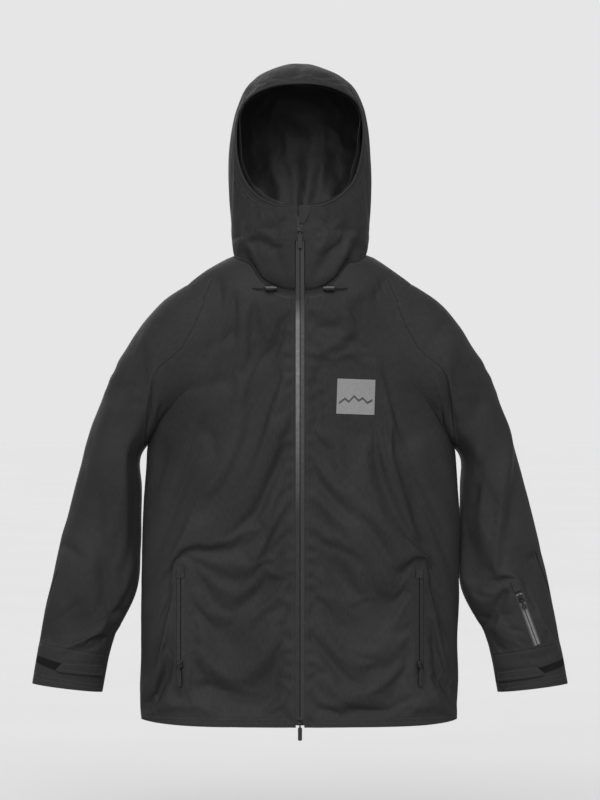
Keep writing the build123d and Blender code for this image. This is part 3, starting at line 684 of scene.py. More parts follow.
def seam_lines(material):
    """Sewn seams from the cloth's point values, in millimetres: how deep the groove is, and where thread
    shows. The row of stitches runs 3.6 mm beside the seam, one stitch every 4 mm."""
    distance, along, groove, stitched = (
        add(material, "Attribute", attribute_name=f"seam_{name}", out="Fac")
        for name in ("distance", "along", "groove", "stitched")
    )
    off = add(material, "Math", {0: distance}, operation="ABSOLUTE")
    near = add(material, "MapRange", {"Value": off, "From Min": 0.0, "From Max": 2.4, "To Min": 1.0,
                                      "To Max": 0.0}, interpolation_type="SMOOTHSTEP")
    groove = add(material, "Math", {0: near, 1: groove}, operation="MULTIPLY")
    row = add(material, "Math", {0: off, 1: 3.6}, operation="SUBTRACT")
    row = add(material, "Math", {0: row}, operation="ABSOLUTE")
    row = add(material, "MapRange", {"Value": row, "From Min": 0.2, "From Max": 0.8, "To Min": 1.0,
                                     "To Max": 0.0}, interpolation_type="SMOOTHSTEP")
    turn = add(material, "Math", {0: along, 1: 2 * math.pi / 4.0}, operation="MULTIPLY")
    wave = add(material, "Math", {0: turn}, operation="SINE")
    dash = add(material, "MapRange", {"Value": wave, "From Min": -0.7, "From Max": -0.3})
    thread = add(material, "Math", {0: row, 1: dash}, operation="MULTIPLY")
    return groove, add(material, "Math", {0: thread, 1: stitched}, operation="MULTIPLY")


def woven(name, colours, thread_mm, twill, weave_mm, roughness, gloss, sheen, crease_size, crease_mm):
    """A woven cloth: thread pattern, uneven dye, sewn seams whose grooves carry painted shade, and fine
    creases of handling. It takes the dark and pale colour of the yarn, how far apart and how steep the
    threads run, how deep the weave is, and how far apart and how deep the creases are."""
    material, principled = surface(name, Roughness=roughness, Sheen_Weight=sheen, Sheen_Roughness=0.45,
                                   Specular_IOR_Level=gloss)
    link = material.node_tree.links.new
    uv = add(material, "UVMap", uv_map="cloth")
    place = add(material, "TexCoord", out="Object")
    turn = add(material, "Mapping", {"Vector": uv, "Rotation": (0, 0, math.radians(twill))})
    # A wave of scale 1 repeats about every third of a metre
    warp, weft = (add(material, "TexWave", {"Vector": turn, "Scale": 1 / (thread_mm * MM) / 3.1},
                      bands_direction=way, out="Fac") for way in ("X", "Y"))
    weave = add(material, "Math", {0: warp, 1: weft}, operation="MULTIPLY")
    mottle = add(material, "TexNoise", {"Vector": place, "Scale": 7.0, "Detail": 4.0})
    slub = add(material, "Mapping", {"Vector": uv, "Scale": (1.0, 0.16, 1.0)})
    slub = add(material, "TexNoise", {"Vector": slub, "Scale": 520.0, "Detail": 2.0})
    shade = add(material, "Math", {0: mottle, 1: 0.55, 2: 0.0}, operation="MULTIPLY_ADD")
    shade = add(material, "Math", {0: slub, 1: 0.45, 2: shade}, operation="MULTIPLY_ADD")
    groove, thread = seam_lines(material)
    colour = ramp(material, shade, zip((0.36, 0.62), colours))
    # Painted shade: the seam's groove is darkened in colour here, as well as sunk by the bump below
    colour = add(material, "Mix", {"Factor": groove, "A": colour, "B": srgb("#0a0a0a")}, data_type="RGBA")
    colour = add(material, "Mix", {"Factor": thread, "A": colour, "B": srgb("#2b2b2c")}, data_type="RGBA")
    link(colour, principled.inputs["Base Color"])
    crease = add(material, "TexNoise", {"Vector": place, "Scale": 1 / (crease_size * MM), "Detail": 3.0,
                                        "Roughness": 0.5, "Distortion": 0.6})
    bump = add(material, "Bump", {"Height": weave, "Distance": weave_mm * MM, "Strength": 0.6})
    bump = add(material, "Bump", {"Height": crease, "Distance": crease_mm * MM, "Strength": 0.6,
                                  "Normal": bump})
    bump = add(material, "Bump", {"Height": thread, "Distance": 0.5 * MM, "Strength": 1.0, "Normal": bump})
    bump = add(material, "Bump", {"Height": groove, "Distance": 1.6 * MM, "Strength": 1.0, "Normal": bump},
               invert=True)
    link(bump, principled.inputs["Normal"])
    return material


def moulded(name, stops, roughness, grain_mm, grain_depth=0.12, metallic=0.0, gloss=0.45, reflection_free_stops=None,
            highlight_band=None):
    """A moulded, cast or coated surface: faint grain, uneven gloss and lighter worn spots. When colours for
    below the chest and the collar are given, the main colours are a painted reflection that stays only on the
    chest, and it fades to those colours below the chest and on the collar. A band, when given, is a painted
    highlight: the direction across a zip, its place that way and half the width that stays pale."""
    material, principled = surface(name, Metallic=metallic, Specular_IOR_Level=gloss)
    link = material.node_tree.links.new
    place = add(material, "TexCoord", out="Object")
    grain = add(material, "TexNoise", {"Vector": place, "Scale": 1 / (grain_mm * MM), "Detail": 2.0})
    wear = add(material, "TexNoise", {"Vector": place, "Scale": 160.0, "Detail": 4.0})
    uneven = add(material, "MapRange", {"Value": wear, "To Min": roughness - 0.06,
                                        "To Max": roughness + 0.08})
    rough = add(material, "Bump", {"Height": grain, "Distance": grain_depth * MM, "Strength": 0.4})
    colour = ramp(material, wear, stops)
    if reflection_free_stops:
        # Painted reflection: the main colours stay only on the chest, and below the chest and on the collar
        # the colour fades to the darker stops
        z = add(material, "SeparateXYZ", {"Vector": place}, out="Z")
        down = add(material, "MapRange", {"Value": z, "From Min": -0.18, "From Max": -0.42})
        up = add(material, "MapRange", {"Value": z, "From Min": -0.085, "From Max": -0.045})
        away = add(material, "Math", {0: down, 1: up}, operation="MAXIMUM")
        low = ramp(material, wear, reflection_free_stops)
        colour = add(material, "Mix", {"Factor": away, "A": colour, "B": low}, data_type="RGBA")
    if highlight_band:
        # Painted highlight: only a strip down the zip's middle keeps the pale colours, and beside it the
        # colour goes dark
        direction, at, half = highlight_band
        off = add(material, "VectorMath", {0: place, 1: direction}, operation="DOT_PRODUCT")
        off = add(material, "Math", {0: off, 1: at}, operation="SUBTRACT")
        off = add(material, "Math", {0: off}, operation="ABSOLUTE")
        edge = add(material, "MapRange", {"Value": off, "From Min": half - 0.8 * MM,
                                          "From Max": half + 0.8 * MM})
        colour = add(material, "Mix", {"Factor": edge, "A": colour, "B": srgb("#141415")}, data_type="RGBA")
    link(colour, principled.inputs["Base Color"])
    link(uneven, principled.inputs["Roughness"])
    link(rough, principled.inputs["Normal"])
    return material


# Laminated polyester twill: matte charcoal face with a faint diagonal rib. The threads are 0.4 mm apart
# and are drawn 1.6 mm apart, the finest that shows.
SHELL = woven("laminated_twill", ("#161617", "#1f1f20"), 1.6, 45, 0.08, 0.72, 0.12, 0.0, 26, 1.2)
# Lining taffeta: plain weave and smoother; its colour is darker than the shell's as painted shade, so that
# the inside of the hood falls away
LINING = woven("lining_taffeta", ("#111112", "#1a1a1b"), 1.4, 0, 0.05, 0.6, 0.2, 0.0, 15, 1.6)
# Narrow nylon webbing: coarse ribs that catch the light
WEBBING = woven("nylon_webbing", ("#09090a", "#131314"), 1.2, 0, 0.3, 0.7, 0.15, 0.05, 12, 0.2)
# Woven label: fine dark grey satin weave, a little paler than the lining
LABEL_WEAVE = woven("woven_label_satin", ("#242425", "#303031"), 0.9, 0, 0.06, 0.5, 0.2, 0.0, 9, 0.1)
# Hook-and-loop pile: a dense mat of nylon loops, darker than the cloth round it
PILE = woven("nylon_loop_pile", ("#0c0c0d", "#151516"), 1.0, 0, 0.9, 0.95, 0.05, 0.0, 3, 0.9)
# Film laminated over the zip tape: satin and smoother than the cloth, paler where it lies flat on the chest
# by a painted reflection that fades below the chest and on the collar
ZIP_FILM = moulded("polyurethane_zip_film", ((0.4, "#4a4a4b"), (0.7, "#565657")), 0.36, 0.9, gloss=0.2,
                   reflection_free_stops=((0.4, "#0e0e0f"), (0.7, "#121213")))
# The tape on the other side turns away from the light
SHADED_FILM = moulded("polyurethane_zip_film_shaded", ((0.4, "#262627"), (0.7, "#2f2f30")), 0.4, 0.9,
                      gloss=0.2, reflection_free_stops=((0.4, "#131314"), (0.7, "#171718")))
# The same film on the small zips: dim on the pockets with painted shade, paler on the arm with a painted
# highlight down its middle
PAINTED_SHADE_FILM = moulded("polyurethane_zip_film_painted_shade", ((0.4, "#171718"), (0.7, "#1c1c1d")), 0.42, 0.9, gloss=0.2)
PAINTED_HIGHLIGHT_FILM = moulded("polyurethane_zip_film_painted_highlight", ((0.4, "#484849"), (0.7, "#525253")), 0.4, 0.9,
                    highlight_band=(SLEEVE_ZIP_ACROSS, Vector(SLEEVE_ZIP_MIDDLE).dot(SLEEVE_ZIP_ACROSS), 4.4 * MM))
# Zip coil and small mouldings: black acetal with a fine spark texture
ACETAL = moulded("black_acetal", ((0.42, "#0a0a0b"), (0.72, "#161617")), 0.36, 0.5, gloss=0.3)
# Sliders: cast zinc under satin black paint, worn brighter in spots
CAST_SLIDER = moulded("painted_cast_zinc", ((0.42, "#0b0b0c"), (0.72, "#333334")), 0.3, 0.6, metallic=0.6,
                      gloss=0.3)
# Pullers: soft moulded rubber, a little greyer where fingers rub it
RUBBER = moulded("moulded_rubber", ((0.42, "#070708"), (0.72, "#101011")), 0.55, 0.4, gloss=0.25)
# Snap stud: pressed steel, brushed bright
STEEL = moulded("pressed_steel", ((0.42, "#8c8c8e"), (0.72, "#b4b4b6")), 0.28, 0.4, metallic=1.0)
# Screen-printed patch: matte grey ink that fills the weave, and black ink over it
PATCH_INK = moulded("grey_screen_ink", ((0.4, "#5a5a5b"), (0.7, "#606061")), 0.7, 1.4, 0.2)
DARK_INK = moulded("black_screen_ink", ((0.4, "#101011"), (0.7, "#171718")), 0.5, 1.2, 0.2)


def place(thing, body, slot, *nodes):
    """Rides a piece on a body and hides the nodes that it stands for; its slot is not used."""
    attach(thing, body)
    if nodes:
        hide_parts(*nodes)
    return thing


# ---------------------------------------------------------------- cloth simulation


def settle(thing, loose, slack, frames, limit):
    """Lets the cloth buckle: slack makes it that share too big, and it moves at most as far as the limit and
    only where it is loose."""
    rest = places(thing)
    normals = places(thing, "normal")
    group = thing.vertex_groups.new(name="hold")
    for i, free in enumerate(loose):
        group.add([i], float(1 - 0.95 * free), "REPLACE")
    cloth = thing.modifiers.new("cloth", "CLOTH")
    settings = cloth.settings
    settings.quality = 5
    settings.mass = 0.25
    settings.tension_stiffness = settings.compression_stiffness = 18
    settings.shear_stiffness = 8
    settings.bending_stiffness = 0.9
    settings.vertex_group_mass = "hold"
    settings.pin_stiffness = 0.6
    settings.shrink_min = -slack
    cloth.collision_settings.use_collision = False
    settings.effector_weights.gravity = 0.25
    cloth.point_cache.frame_start = 1
    cloth.point_cache.frame_end = frames
    scene = bpy.context.scene
    for step in range(1, frames + 1):
        scene.frame_set(step)
    apply_modifiers(thing)
    moved = places(thing) - rest
    size = np.linalg.norm(moved, axis=1)
    # The outline stays put: cloth that faces sideways moves less
    outline = np.clip(1.15 * np.abs(normals[:, 1]), 0.18, 1)
    share = np.minimum(1, limit / np.maximum(size, 1e-9)) * loose * outline
    put(thing, rest + moved * share[:, None])
    scene.frame_set(1)


# ---------------------------------------------------------------- body shell


FOLD_DEPTH = 1.25  # how much deeper than listed the folds of body and sleeves are moved in
HEM_LIFT = 9 * MM  # how much higher the hem is at the sides than in the middle


def make_body():
    """The body of the jacket: two fronts and a back in one cloth."""
    neck_z, steps = 34 * MM, 264
    heights = np.arange(HEM_Z, neck_z, CELL)[::-1]
    gap = math.asin(ZIP_HALF / HALF_WIDTH)
    angle = np.linspace(gap, 2 * math.pi - gap, steps + 1)
    points = body_points(heights, angle)
    for column, side in ((0, 1), (-1, -1)):
        points[:, column, 0] = side * ZIP_HALF
    low = np.clip((HEM_Z + 60 * MM - points[:, :, 2]) / (60 * MM), 0, 1)
    points[:, :, 2] += low * HEM_LIFT * (np.abs(points[:, :, 0]) / HALF_WIDTH) ** 7
    normal = -grid_normals(points, False)
    front, back = front_and_back(normal, 2.5)
    x, z = points[:, :, 0], points[:, :, 2]
    sink = fold_depth(x, z, BODY_FOLDS) * front + fold_depth(x, z, BACK_FOLDS) * back
    loose = looseness(x, z, CALM_BODY) * front + (1 - front)
    from_zip = np.abs(x) - ZIP_HALF
    # Puckers where the zip's tape is shorter than the cloth
    pucker = np.exp(-((from_zip - 9 * MM) / (9 * MM)) ** 2) * front * (z < -50 * MM)
    height = 0.8 + 0.9 * np.clip((-330 * MM - z) / (90 * MM), 0, 1)
    sink += pucker * height * MM * np.sin(z / (4.8 * MM) + 2.2 * np.sin(z / (27 * MM)))
    still = np.clip(from_zip / (14 * MM), 0, 1) * front + (1 - front)
    uneven = crumple(points, ((170, 4.0), (70, 2.2), (34, 0.9)), 3)
    points = points - normal * ((sink * FOLD_DEPTH + uneven) * still * loose)[:, :, None]
    body = cloth_mesh("jacket_body", points, (1.25, 0.82))
    neck = np.clip((z + 10 * MM) / (30 * MM), 0, 1)
    hem = np.clip((HEM_Z + 30 * MM - z) / (30 * MM), 0, 1) * 0.75
    free = still * loose * (1 - neck) * (1 - hem)
    settle(body, free.ravel(), 0.03, 18, 9 * MM)
    return body


# The seam between front and sleeve as seen from the front, and between back and sleeve
RAGLAN_FRONT = [
    (150, -16), (162, -46), (178, -78), (192, -106), (206, -130), (224, -148), (243, -162), (256, -180),
    (262, -210), (267, -250), (276, -330),
]
RAGLAN_BACK = [(132, -10), (158, -70), (190, -140), (226, -200), (258, -260), (276, -330)]


def raglan(co):
    """Signed distance to the sleeve seams, and how far along them."""
    front = signed_to_run(np.abs(co[:, 0]), co[:, 2], RAGLAN_FRONT)
    back = signed_to_run(np.abs(co[:, 0]), co[:, 2], RAGLAN_BACK)
    ahead = co[:, 1] < MID_Y + 10 * MM
    return np.where(ahead, front[0], back[0]), np.where(ahead, front[1], back[1])


def neck_press(gap):
    """How far body and hood sink where they are sewn together."""
    return 2.0 * MM * np.exp(-((gap / (5 * MM)) ** 2))


def join(gap, co, normals):
    """How far body and sleeve cloth stand out to meet smoothly, less at the armpit and on the outline."""
    armpit = np.clip((co[:, 2] + 340 * MM) / (150 * MM), 0, 1)
    outline = 0.4 + 0.6 * np.abs(normals[:, 1])
    crease = 2.6 * MM * np.exp(-((gap / (6 * MM)) ** 2)) * (1 - armpit)
    return eased(gap, 64 * MM) * armpit * outline - crease


def split_body(body, trees, hood_tree):
    """Grooves the armhole seams, cuts the zip windows and cuts the cloth into its sewn panels."""
    co = places(body)
    gaps = [gap_to(body, trees[name]) for name in ("left", "right")]
    sleeve_gap = np.where(np.abs(gaps[0]) < np.abs(gaps[1]), gaps[0], gaps[1])
    hood_gap = gap_to(body, hood_tree)
    hood_gap[co[:, 2] < -60 * MM] = FAR
    normals = places(body, "normal")
    press = neck_press(hood_gap) - join(sleeve_gap, co, normals)
    put(body, co - normals * press[:, None])
    x, y, z = co.T
    across = np.abs(x)
    side_seam = np.where(across > 150 * MM, y - MID_Y, NO_SEAM)
    zip_edge = np.where(y < MID_Y, across - ZIP_HALF - 2 * MM, NO_SEAM)
    yoke = np.where(y > MID_Y, z + 118 * MM + 0.12 * across, NO_SEAM)
    mark_seams(body, [
        (*raglan(co), 0.35, 0.6),
        (hood_gap - 1 * MM, across + y, 0.7, 0.7),
        (side_seam, z, 1, 0),
        (z - (HEM_Z + 10 * MM), x + y, 0, 1),
        (zip_edge, z, 0, 1),
        (yoke, x, 1, 1),
    ])
    for side, _ in SIDES:
        middle = (side * HAND_ZIP_X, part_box("hand_zip_left")[0].y + 3.5 * MM, HAND_ZIP_Z)
        across = (HAND_ZIP_ACROSS[0], side * HAND_ZIP_ACROSS[1], 0)
        cut_window(body, middle, (0, 0, 1), across, 88.2 * MM, WINDOW_HALF)
    panels = {
        "front_shell_left": (lambda p: p.y < MID_Y and p.x > 0, "front_panel_left"),
        "front_shell_right": (lambda p: p.y < MID_Y and p.x < 0, "front_panel_right"),
        "back_shell": (lambda p: p.y >= MID_Y, "back_panel"),
    }
    for name, (inside, node) in panels.items():
        piece = keep_faces(copy_of(body, name), lambda p: inside(p) and not hidden(p))
        finish_cloth(piece, SHELL)
        place(piece, TORSO, "shell_fabric", node)
    bpy.data.objects.remove(body)


def in_sleeve(point, inset):
    """Whether a point is inside the sleeve's tube drawn in by inset."""
    px, pz = (abs(point.x) - HALF_WIDTH) / MM, point.z / MM
    for first, second in zip(SLEEVE_RINGS, SLEEVE_RINGS[1:]):
        corners = [first[0], second[0], second[1], first[1]]
        if any((bx - ax) * (pz - az) - (bz - az) * (px - ax) > 0
               for (ax, az), (bx, bz) in zip(corners, corners[1:] + corners[:1])):
            continue
        middle = np.mean(corners, axis=0)
        across = first[0][0] - first[1][0], first[0][1] - first[1][1]
        size = math.hypot(*across)
        depth = (first[2] + second[2]) / 2
        behind = MID_Y + (first[3] + second[3]) / 2 * MM
        off = ((px - middle[0]) * across[0] + (pz - middle[1]) * across[1]) / size
        if (off / (size / 2 - inset / MM)) ** 2 + ((point.y - behind) / (depth * MM - inset)) ** 2 < 1:
            return True
    return False


def hidden(p):
    """Body cloth that the sleeves or the hood's neck cover."""
    half_width, half_depth, behind, foot = 102 * MM, 76 * MM, 86 * MM, -70 * MM
    neck = (p.x / half_width) ** 2 + ((p.y - FRONT_Y - behind) / half_depth) ** 2
    return in_sleeve(p, 10 * MM) or (p.z > foot and neck < 1)


# ---------------------------------------------------------------- sleeves


def make_sleeve(side, name):
    """One sleeve in one cloth, from inside the body down to the cuff."""
    rows, columns = 136, 84
    share = np.linspace(0.0, 1, rows)
    angle = np.linspace(0, 2 * math.pi, columns, endpoint=False)
    points = sleeve_points(side, share, angle)
    normal = grid_normals(points, True) * -side
    front, back = front_and_back(normal, 2.2)
    x, z = points[:, :, 0], points[:, :, 2]
    mirrored = [(d * 0.9, w, [(-px, pz + 12) for px, pz in run]) for d, w, run in SLEEVE_FOLDS[-side]]
    sink = fold_depth(x, z, SLEEVE_FOLDS[side]) * front + fold_depth(x, z, mirrored) * back
    loose = looseness(x, z, CALM_SLEEVE) * front + (1 - front)
    # Easing along the armhole: the sleeve's cloth is gathered a little into the seam
    gather = np.sin(z / (6.5 * MM) + 3 * np.sin(z / (31 * MM)))
    gather = np.exp(-((share - 0.30) / 0.05) ** 2)[:, None] * gather
    uneven = crumple(points, ((140, 4.0), (60, 2.2), (30, 0.9)), 5 + side)
    ends = (np.clip((1 - share) * 7, 0, 1) * np.clip(share * 5, 0, 1))[:, None]
    points = points - normal * ((sink * FOLD_DEPTH + uneven + gather * 0.9 * MM) * ends * loose)[:, :, None]
    sleeve = cloth_mesh("sleeve_" + name, points, (0.46, 0.75), closed=True)
    if side < 0:
        sleeve.data.flip_normals()
    free = ends * np.clip((share - 0.10) * 6, 0, 1)[:, None] * loose
    settle(sleeve, free.ravel(), 0.035, 18, 9 * MM)
    return sleeve


def split_sleeve(sleeve, side, name, body_tree):
    """Cuts the sleeve where it bends into a top piece and a lower piece."""
    co = places(sleeve)
    gap = gap_to(sleeve, body_tree)
    normals = places(sleeve, "normal")
    stand = join(gap, co, normals) * np.clip((-290 * MM - co[:, 2]) / (-60 * MM) + 1, 0, 1)
    put(sleeve, co + normals * stand[:, None])
    x, y, z = co.T
    # How far above the cuff's middle, up the arm
    up = (z + 692 * MM) * -DOWN_ARM[1] - (np.abs(x) - 406 * MM) * DOWN_ARM[0]
    elbow_seam = np.where(y > MID_Y, np.abs(x) * 0.98 + z * 0.35 - 0.235, NO_SEAM)
    mark_seams(sleeve, [
        (*raglan(co), 0.35, 0.6),
        (up - 34 * MM, x + y, 0.2, 0.5),
        (up + 24 * MM, x + y, 0, 1),
        (elbow_seam, z, 1, 1),
    ])
    dress_cuff(tree_of(sleeve), side, name)
    if side > 0:
        cut_window(sleeve, SLEEVE_ZIP_MIDDLE, SLEEVE_ZIP_ALONG, SLEEVE_ZIP_ACROSS, 48.5 * MM, WINDOW_HALF)
    split_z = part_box(f"upper_sleeve_{name}")[0].z + 22 * MM
    top = cut_at(copy_of(sleeve, f"sleeve_top_shell_{name}"), (0, 0, split_z), (0, 0, -1))
    lower = cut_at(copy_of(sleeve, f"forearm_shell_{name}"), (0, 0, split_z), (0, 0, 1))
    bpy.data.objects.remove(sleeve)
    for piece in (top, lower):
        finish_cloth(piece, SHELL)
    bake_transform(top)
    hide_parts(f"sleeve_cap_{name}", f"upper_sleeve_{name}")
    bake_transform(lower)
    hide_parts(f"forearm_sleeve_{name}")


# ---------------------------------------------------------------- hood


def rim_y(z):
    """How far back the face opening's edge is at a height."""
    ahead = through([(height, distance) for distance, height in FACE_EDGE], np.atleast_1d(z) / MM)
    return HOOD_HINGE_Y - ahead[:, 0] * MM


def open_face(thing):
    """Cuts the face opening out of a hood layer."""
    co = places(thing)
    co[:, 1] -= rim_y(co[:, 2])
    put(thing, co)
    cut_at(thing, (0, 0, 0), (0, -1, 0))
    co = places(thing)
    co[:, 1] += rim_y(co[:, 2])
    put(thing, co)


def tilt(thing):
    """Bakes the piece's placing into its mesh."""
    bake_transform(thing)


def rim_line(thing, test):
    """The open edge's points in order, where the test holds."""
    bm = bmesh.new()
    bm.from_mesh(thing.data)
    left = {e for e in bm.edges if e.is_boundary and all(test(v.co) for v in e.verts)}
    best = []
    while left:
        edge = left.pop()
        line = [edge.verts[0], edge.verts[1]]
        for end in (1, 0):
            while True:
                tip = line[-1] if end else line[0]
                step = next((e for e in tip.link_edges if e in left), None)
                if step is None:
                    break
                left.discard(step)
                other = step.other_vert(tip)
                line = line + [other] if end else [other] + line
        if len(line) > len(best):
            best = line
    made = [v.co.copy() for v in best]
    bm.free()
    return made


def close_crown(thing, columns):
    """Draws the crown's last ring together to a point."""
    with opened(thing) as bm:
        bm.verts.ensure_lookup_table()
        ring = bm.verts[:columns]
        middle = sum((v.co for v in ring), Vector()) / columns
        bmesh.ops.pointmerge(bm, verts=ring, merge_co=middle + Vector((0, 0, 0.3 * MM)))


def make_hood():
    """The hood's outer cloth."""
    rows, columns = 120, 192
    share = np.linspace(1, 0, rows)
    angle = np.linspace(0, 2 * math.pi, columns, endpoint=False)
    points = hood_points(share, angle)
    normal = -grid_normals(points, True)
    front = np.clip(-normal[:, :, 1] * 2.2 + 0.35, 0, 1)
    x, y, z = points[:, :, 0], points[:, :, 1], points[:, :, 2]
    sink = fold_depth(x, z, HOOD_FOLDS) * front
    uneven = crumple(points, ((110, 3.2), (48, 1.5), (26, 0.6)), 11)
    uneven *= 0.2 + 0.8 * np.clip((z + 20 * MM) / (40 * MM), 0, 1)
    strip = np.clip((np.abs(x) - 12 * MM) / (18 * MM), 0, 1)
    still = np.where((y < MID_Y) & (z < 130 * MM), strip, 1.0)
    points = points - normal * ((sink * 1.2 + uneven) * still)[:, :, None]
    hood = cloth_mesh("hood_shell", points, (0.74, 0.55), closed=True)
    rim = np.clip(np.abs(y - rim_y(z.ravel()).reshape(z.shape)) / (20 * MM), 0, 1)
    free = np.clip((z - 5 * MM) / (40 * MM), 0, 1) * still * rim * np.clip((0.372 - z) / 0.03, 0, 1)
    settle(hood, free.ravel(), 0.025, 14, 7 * MM)
    close_crown(hood, columns)
    open_face(hood)
    front_gap = ZIP_HALF - 0.5 * MM
    return keep_faces(hood, lambda p: not (abs(p.x) < front_gap and p.y < MID_Y and p.z < CHIN_Z + 6 * MM))


def finish_hood(hood, body_tree):
    """Sinks the neck seam, marks the panels' seams, and binds the face opening's edge."""
    co = places(hood)
    gap = gap_to(hood, body_tree)
    gap[co[:, 2] > 60 * MM] = FAR
    put(hood, co - places(hood, "normal") * neck_press(gap)[:, None])
    x, y, z = co.T
    brim_y = -126 * MM
    mark_seams(hood, [
        (gap, np.abs(x) + y, 0.8, 0),
        (y - rim_y(z) - 14 * MM, z + x, 0, 1),
        (np.where(z > 292 * MM, y - brim_y, NO_SEAM), x, 1, 1),
        (np.where(y > brim_y, np.abs(x) - 46 * MM, NO_SEAM), y + z, 1, 1),
    ])
    line = rim_line(hood, lambda p: p.z > CHIN_Z - 4 * MM)
    finish_cloth(hood, SHELL)
    tilt(hood)
    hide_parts("hood_brim", "hood_centre_panel", "hood_side_left", "hood_side_right",
                "collar_front_left", "collar_front_right", "collar_back")
    binding = tube("hood_edge_binding", [p + Vector((0, 1.2 * MM, 0)) for p in line], 2.3 * MM, SHELL)
    tilt(binding)


def make_hood_lining():
    """The hood's lining, seen through the face opening."""
    rows, columns = 100, 160
    share = np.linspace(1, 0, rows)
    angle = np.linspace(0, 2 * math.pi, columns, endpoint=False)
    inner = hood_points(share, angle, 4 * MM)
    normal = -grid_normals(inner, True)
    uneven = np.abs(crumple(inner, ((90, 9.0), (38, 4.0), (18, 1.4)), 17))
    z = inner[:, :, 2]
    # The back of the lining falls in soft folds that run together at the neck
    fan = np.arctan2(inner[:, :, 0], z - 20 * MM)
    back = np.clip(normal[:, :, 1], 0, 1) * np.clip((0.33 - z) / 0.1, 0, 1)
    drift = crumple(inner, ((120, 900), (60, 400)), 31)
    uneven += back * 7 * MM * (np.sin(fan * 9 + 1.0 + drift * 2.5) * 0.5 + 0.5) ** 2
    uneven += back * 3 * MM * (np.sin(fan * 23 + drift * 4) * 0.5 + 0.5)
    behind_rim = inner[:, :, 1] - rim_y(z.ravel()).reshape(z.shape)
    uneven += 6 * MM * np.clip(behind_rim / (50 * MM), 0, 1)
    lining = cloth_mesh("hood_lining_cloth", inner - normal * uneven[:, :, None], (0.7, 0.55), closed=True)
    close_crown(lining, columns)
    open_face(lining)
    keep_faces(lining, lambda p: not (p.y < MID_Y and p.z < CHIN_Z + 8 * MM and abs(p.x) < 8 * MM))
    finish_cloth(lining, LINING, THIN_CLOTH)
    tilt(lining)
    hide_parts("hood_lining")


# ---------------------------------------------------------------- inside


def make_lining():
    """The body's lining, seen through the hem and the neck."""
    heights = np.arange(HEM_Z + 32 * MM, 20 * MM, 9 * MM)[::-1]
    angle = np.linspace(0.12, 2 * math.pi - 0.12, 161)
    points = body_points(heights, angle, 15 * MM)
    normal = -grid_normals(points, False)
    points = points - normal * np.abs(crumple(points, ((90, 6), (40, 2)), 23))[:, :, None]
    lining = cloth_mesh("body_lining_cloth", points, (1.2, 0.8))
    keep_faces(lining, lambda p: not in_sleeve(p, 4 * MM))
    finish_cloth(lining, LINING, THIN_CLOTH)
    place(lining, TORSO, "lining_fabric", "body_lining", "hand_pocket_bag_left", "hand_pocket_bag_right")


# ---------------------------------------------------------------- things sewn or printed on


def laid_on(name, tree, outline, lift, thickness, material, cell=4 * MM, start=-0.5, stitched=False):
    """A flat piece with a given outline from the front, laid on the first cloth behind start, or flat on
    the plane y = start where there is no cloth to lie on."""
    bm = bmesh.new()
    bm.faces.new([bm.verts.new((x * MM, 0, z * MM)) for x, z in outline])
    for reach, normal in zip(zip(*outline), ((1, 0, 0), (0, 0, 1))):
        for step in np.arange(min(reach) * MM + cell, max(reach) * MM, cell):
            slice_all(bm, Vector(normal) * step, normal)
    flat = bm.loops.layers.uv.new("cloth")
    for f in bm.faces:
        for corner in f.loops:
            corner[flat].uv = corner.vert.co.x, corner.vert.co.z
    off, along, length = to_run(*np.array([(v.co.x, v.co.z) for v in bm.verts]).T, outline + outline[:1])
    for v in bm.verts:
        if tree is None:
            v.co.y = start
            continue
        ray = Vector((v.co.x, start, v.co.z))
        hit = tree.ray_cast(ray, Vector((0, 1, 0)))
        if hit[0] is None or hit[0].y > MID_Y + 40 * MM and start < MID_Y:
            hit = tree.find_nearest(Vector((v.co.x, MID_Y - 20 * MM, v.co.z)))
        v.co = hit[0] + (hit[1] if hit[1].y < 0 else -hit[1]) * lift
    bmesh.ops.recalc_face_normals(bm, faces=bm.faces[:])
    if sum(f.normal.y for f in bm.faces) > 0:
        bmesh.ops.reverse_faces(bm, faces=bm.faces[:])
    mesh = bpy.data.meshes.new(name)
    bm.to_mesh(mesh)
    bm.free()
    thing = shown(name, mesh)
    if stitched:
        mark_seams(thing, [(off, along / length * 0.2, 0, 1)])
    return finish_cloth(thing, material, thickness, 0)


def rounded_outline(points, radius):
    """The outline with its corners rounded."""
    made = []
    for before, at, after in zip(points[-1:] + points[:-1], points, points[1:] + points[:1]):
        at = Vector(at)
        first = at + (Vector(before) - at).normalized() * radius
        last = at + (Vector(after) - at).normalized() * radius
        for t in (0.0, 0.25, 0.5, 0.75, 1.0):
            made.append(tuple(first * (1 - t) ** 2 + at * 2 * t * (1 - t) + last * t**2))
    return made


# Cuff tabs and pads from the front, for each arm: the tab's inner end, tip and lower edge
TABS = {
    1: [(347, -697), (412, -687), (428, -700), (421, -704.5), (347, -716)],
    -1: [(347, -684), (415, -680), (428, -694), (421, -697.5), (347, -706)],
}
PADS = {
    1: [(376, -697), (424, -689), (462, -677), (463, -688), (426, -700), (376, -708)],
    -1: [(376, -686), (420, -682), (461, -671), (463, -682), (430, -694), (376, -700)],
}


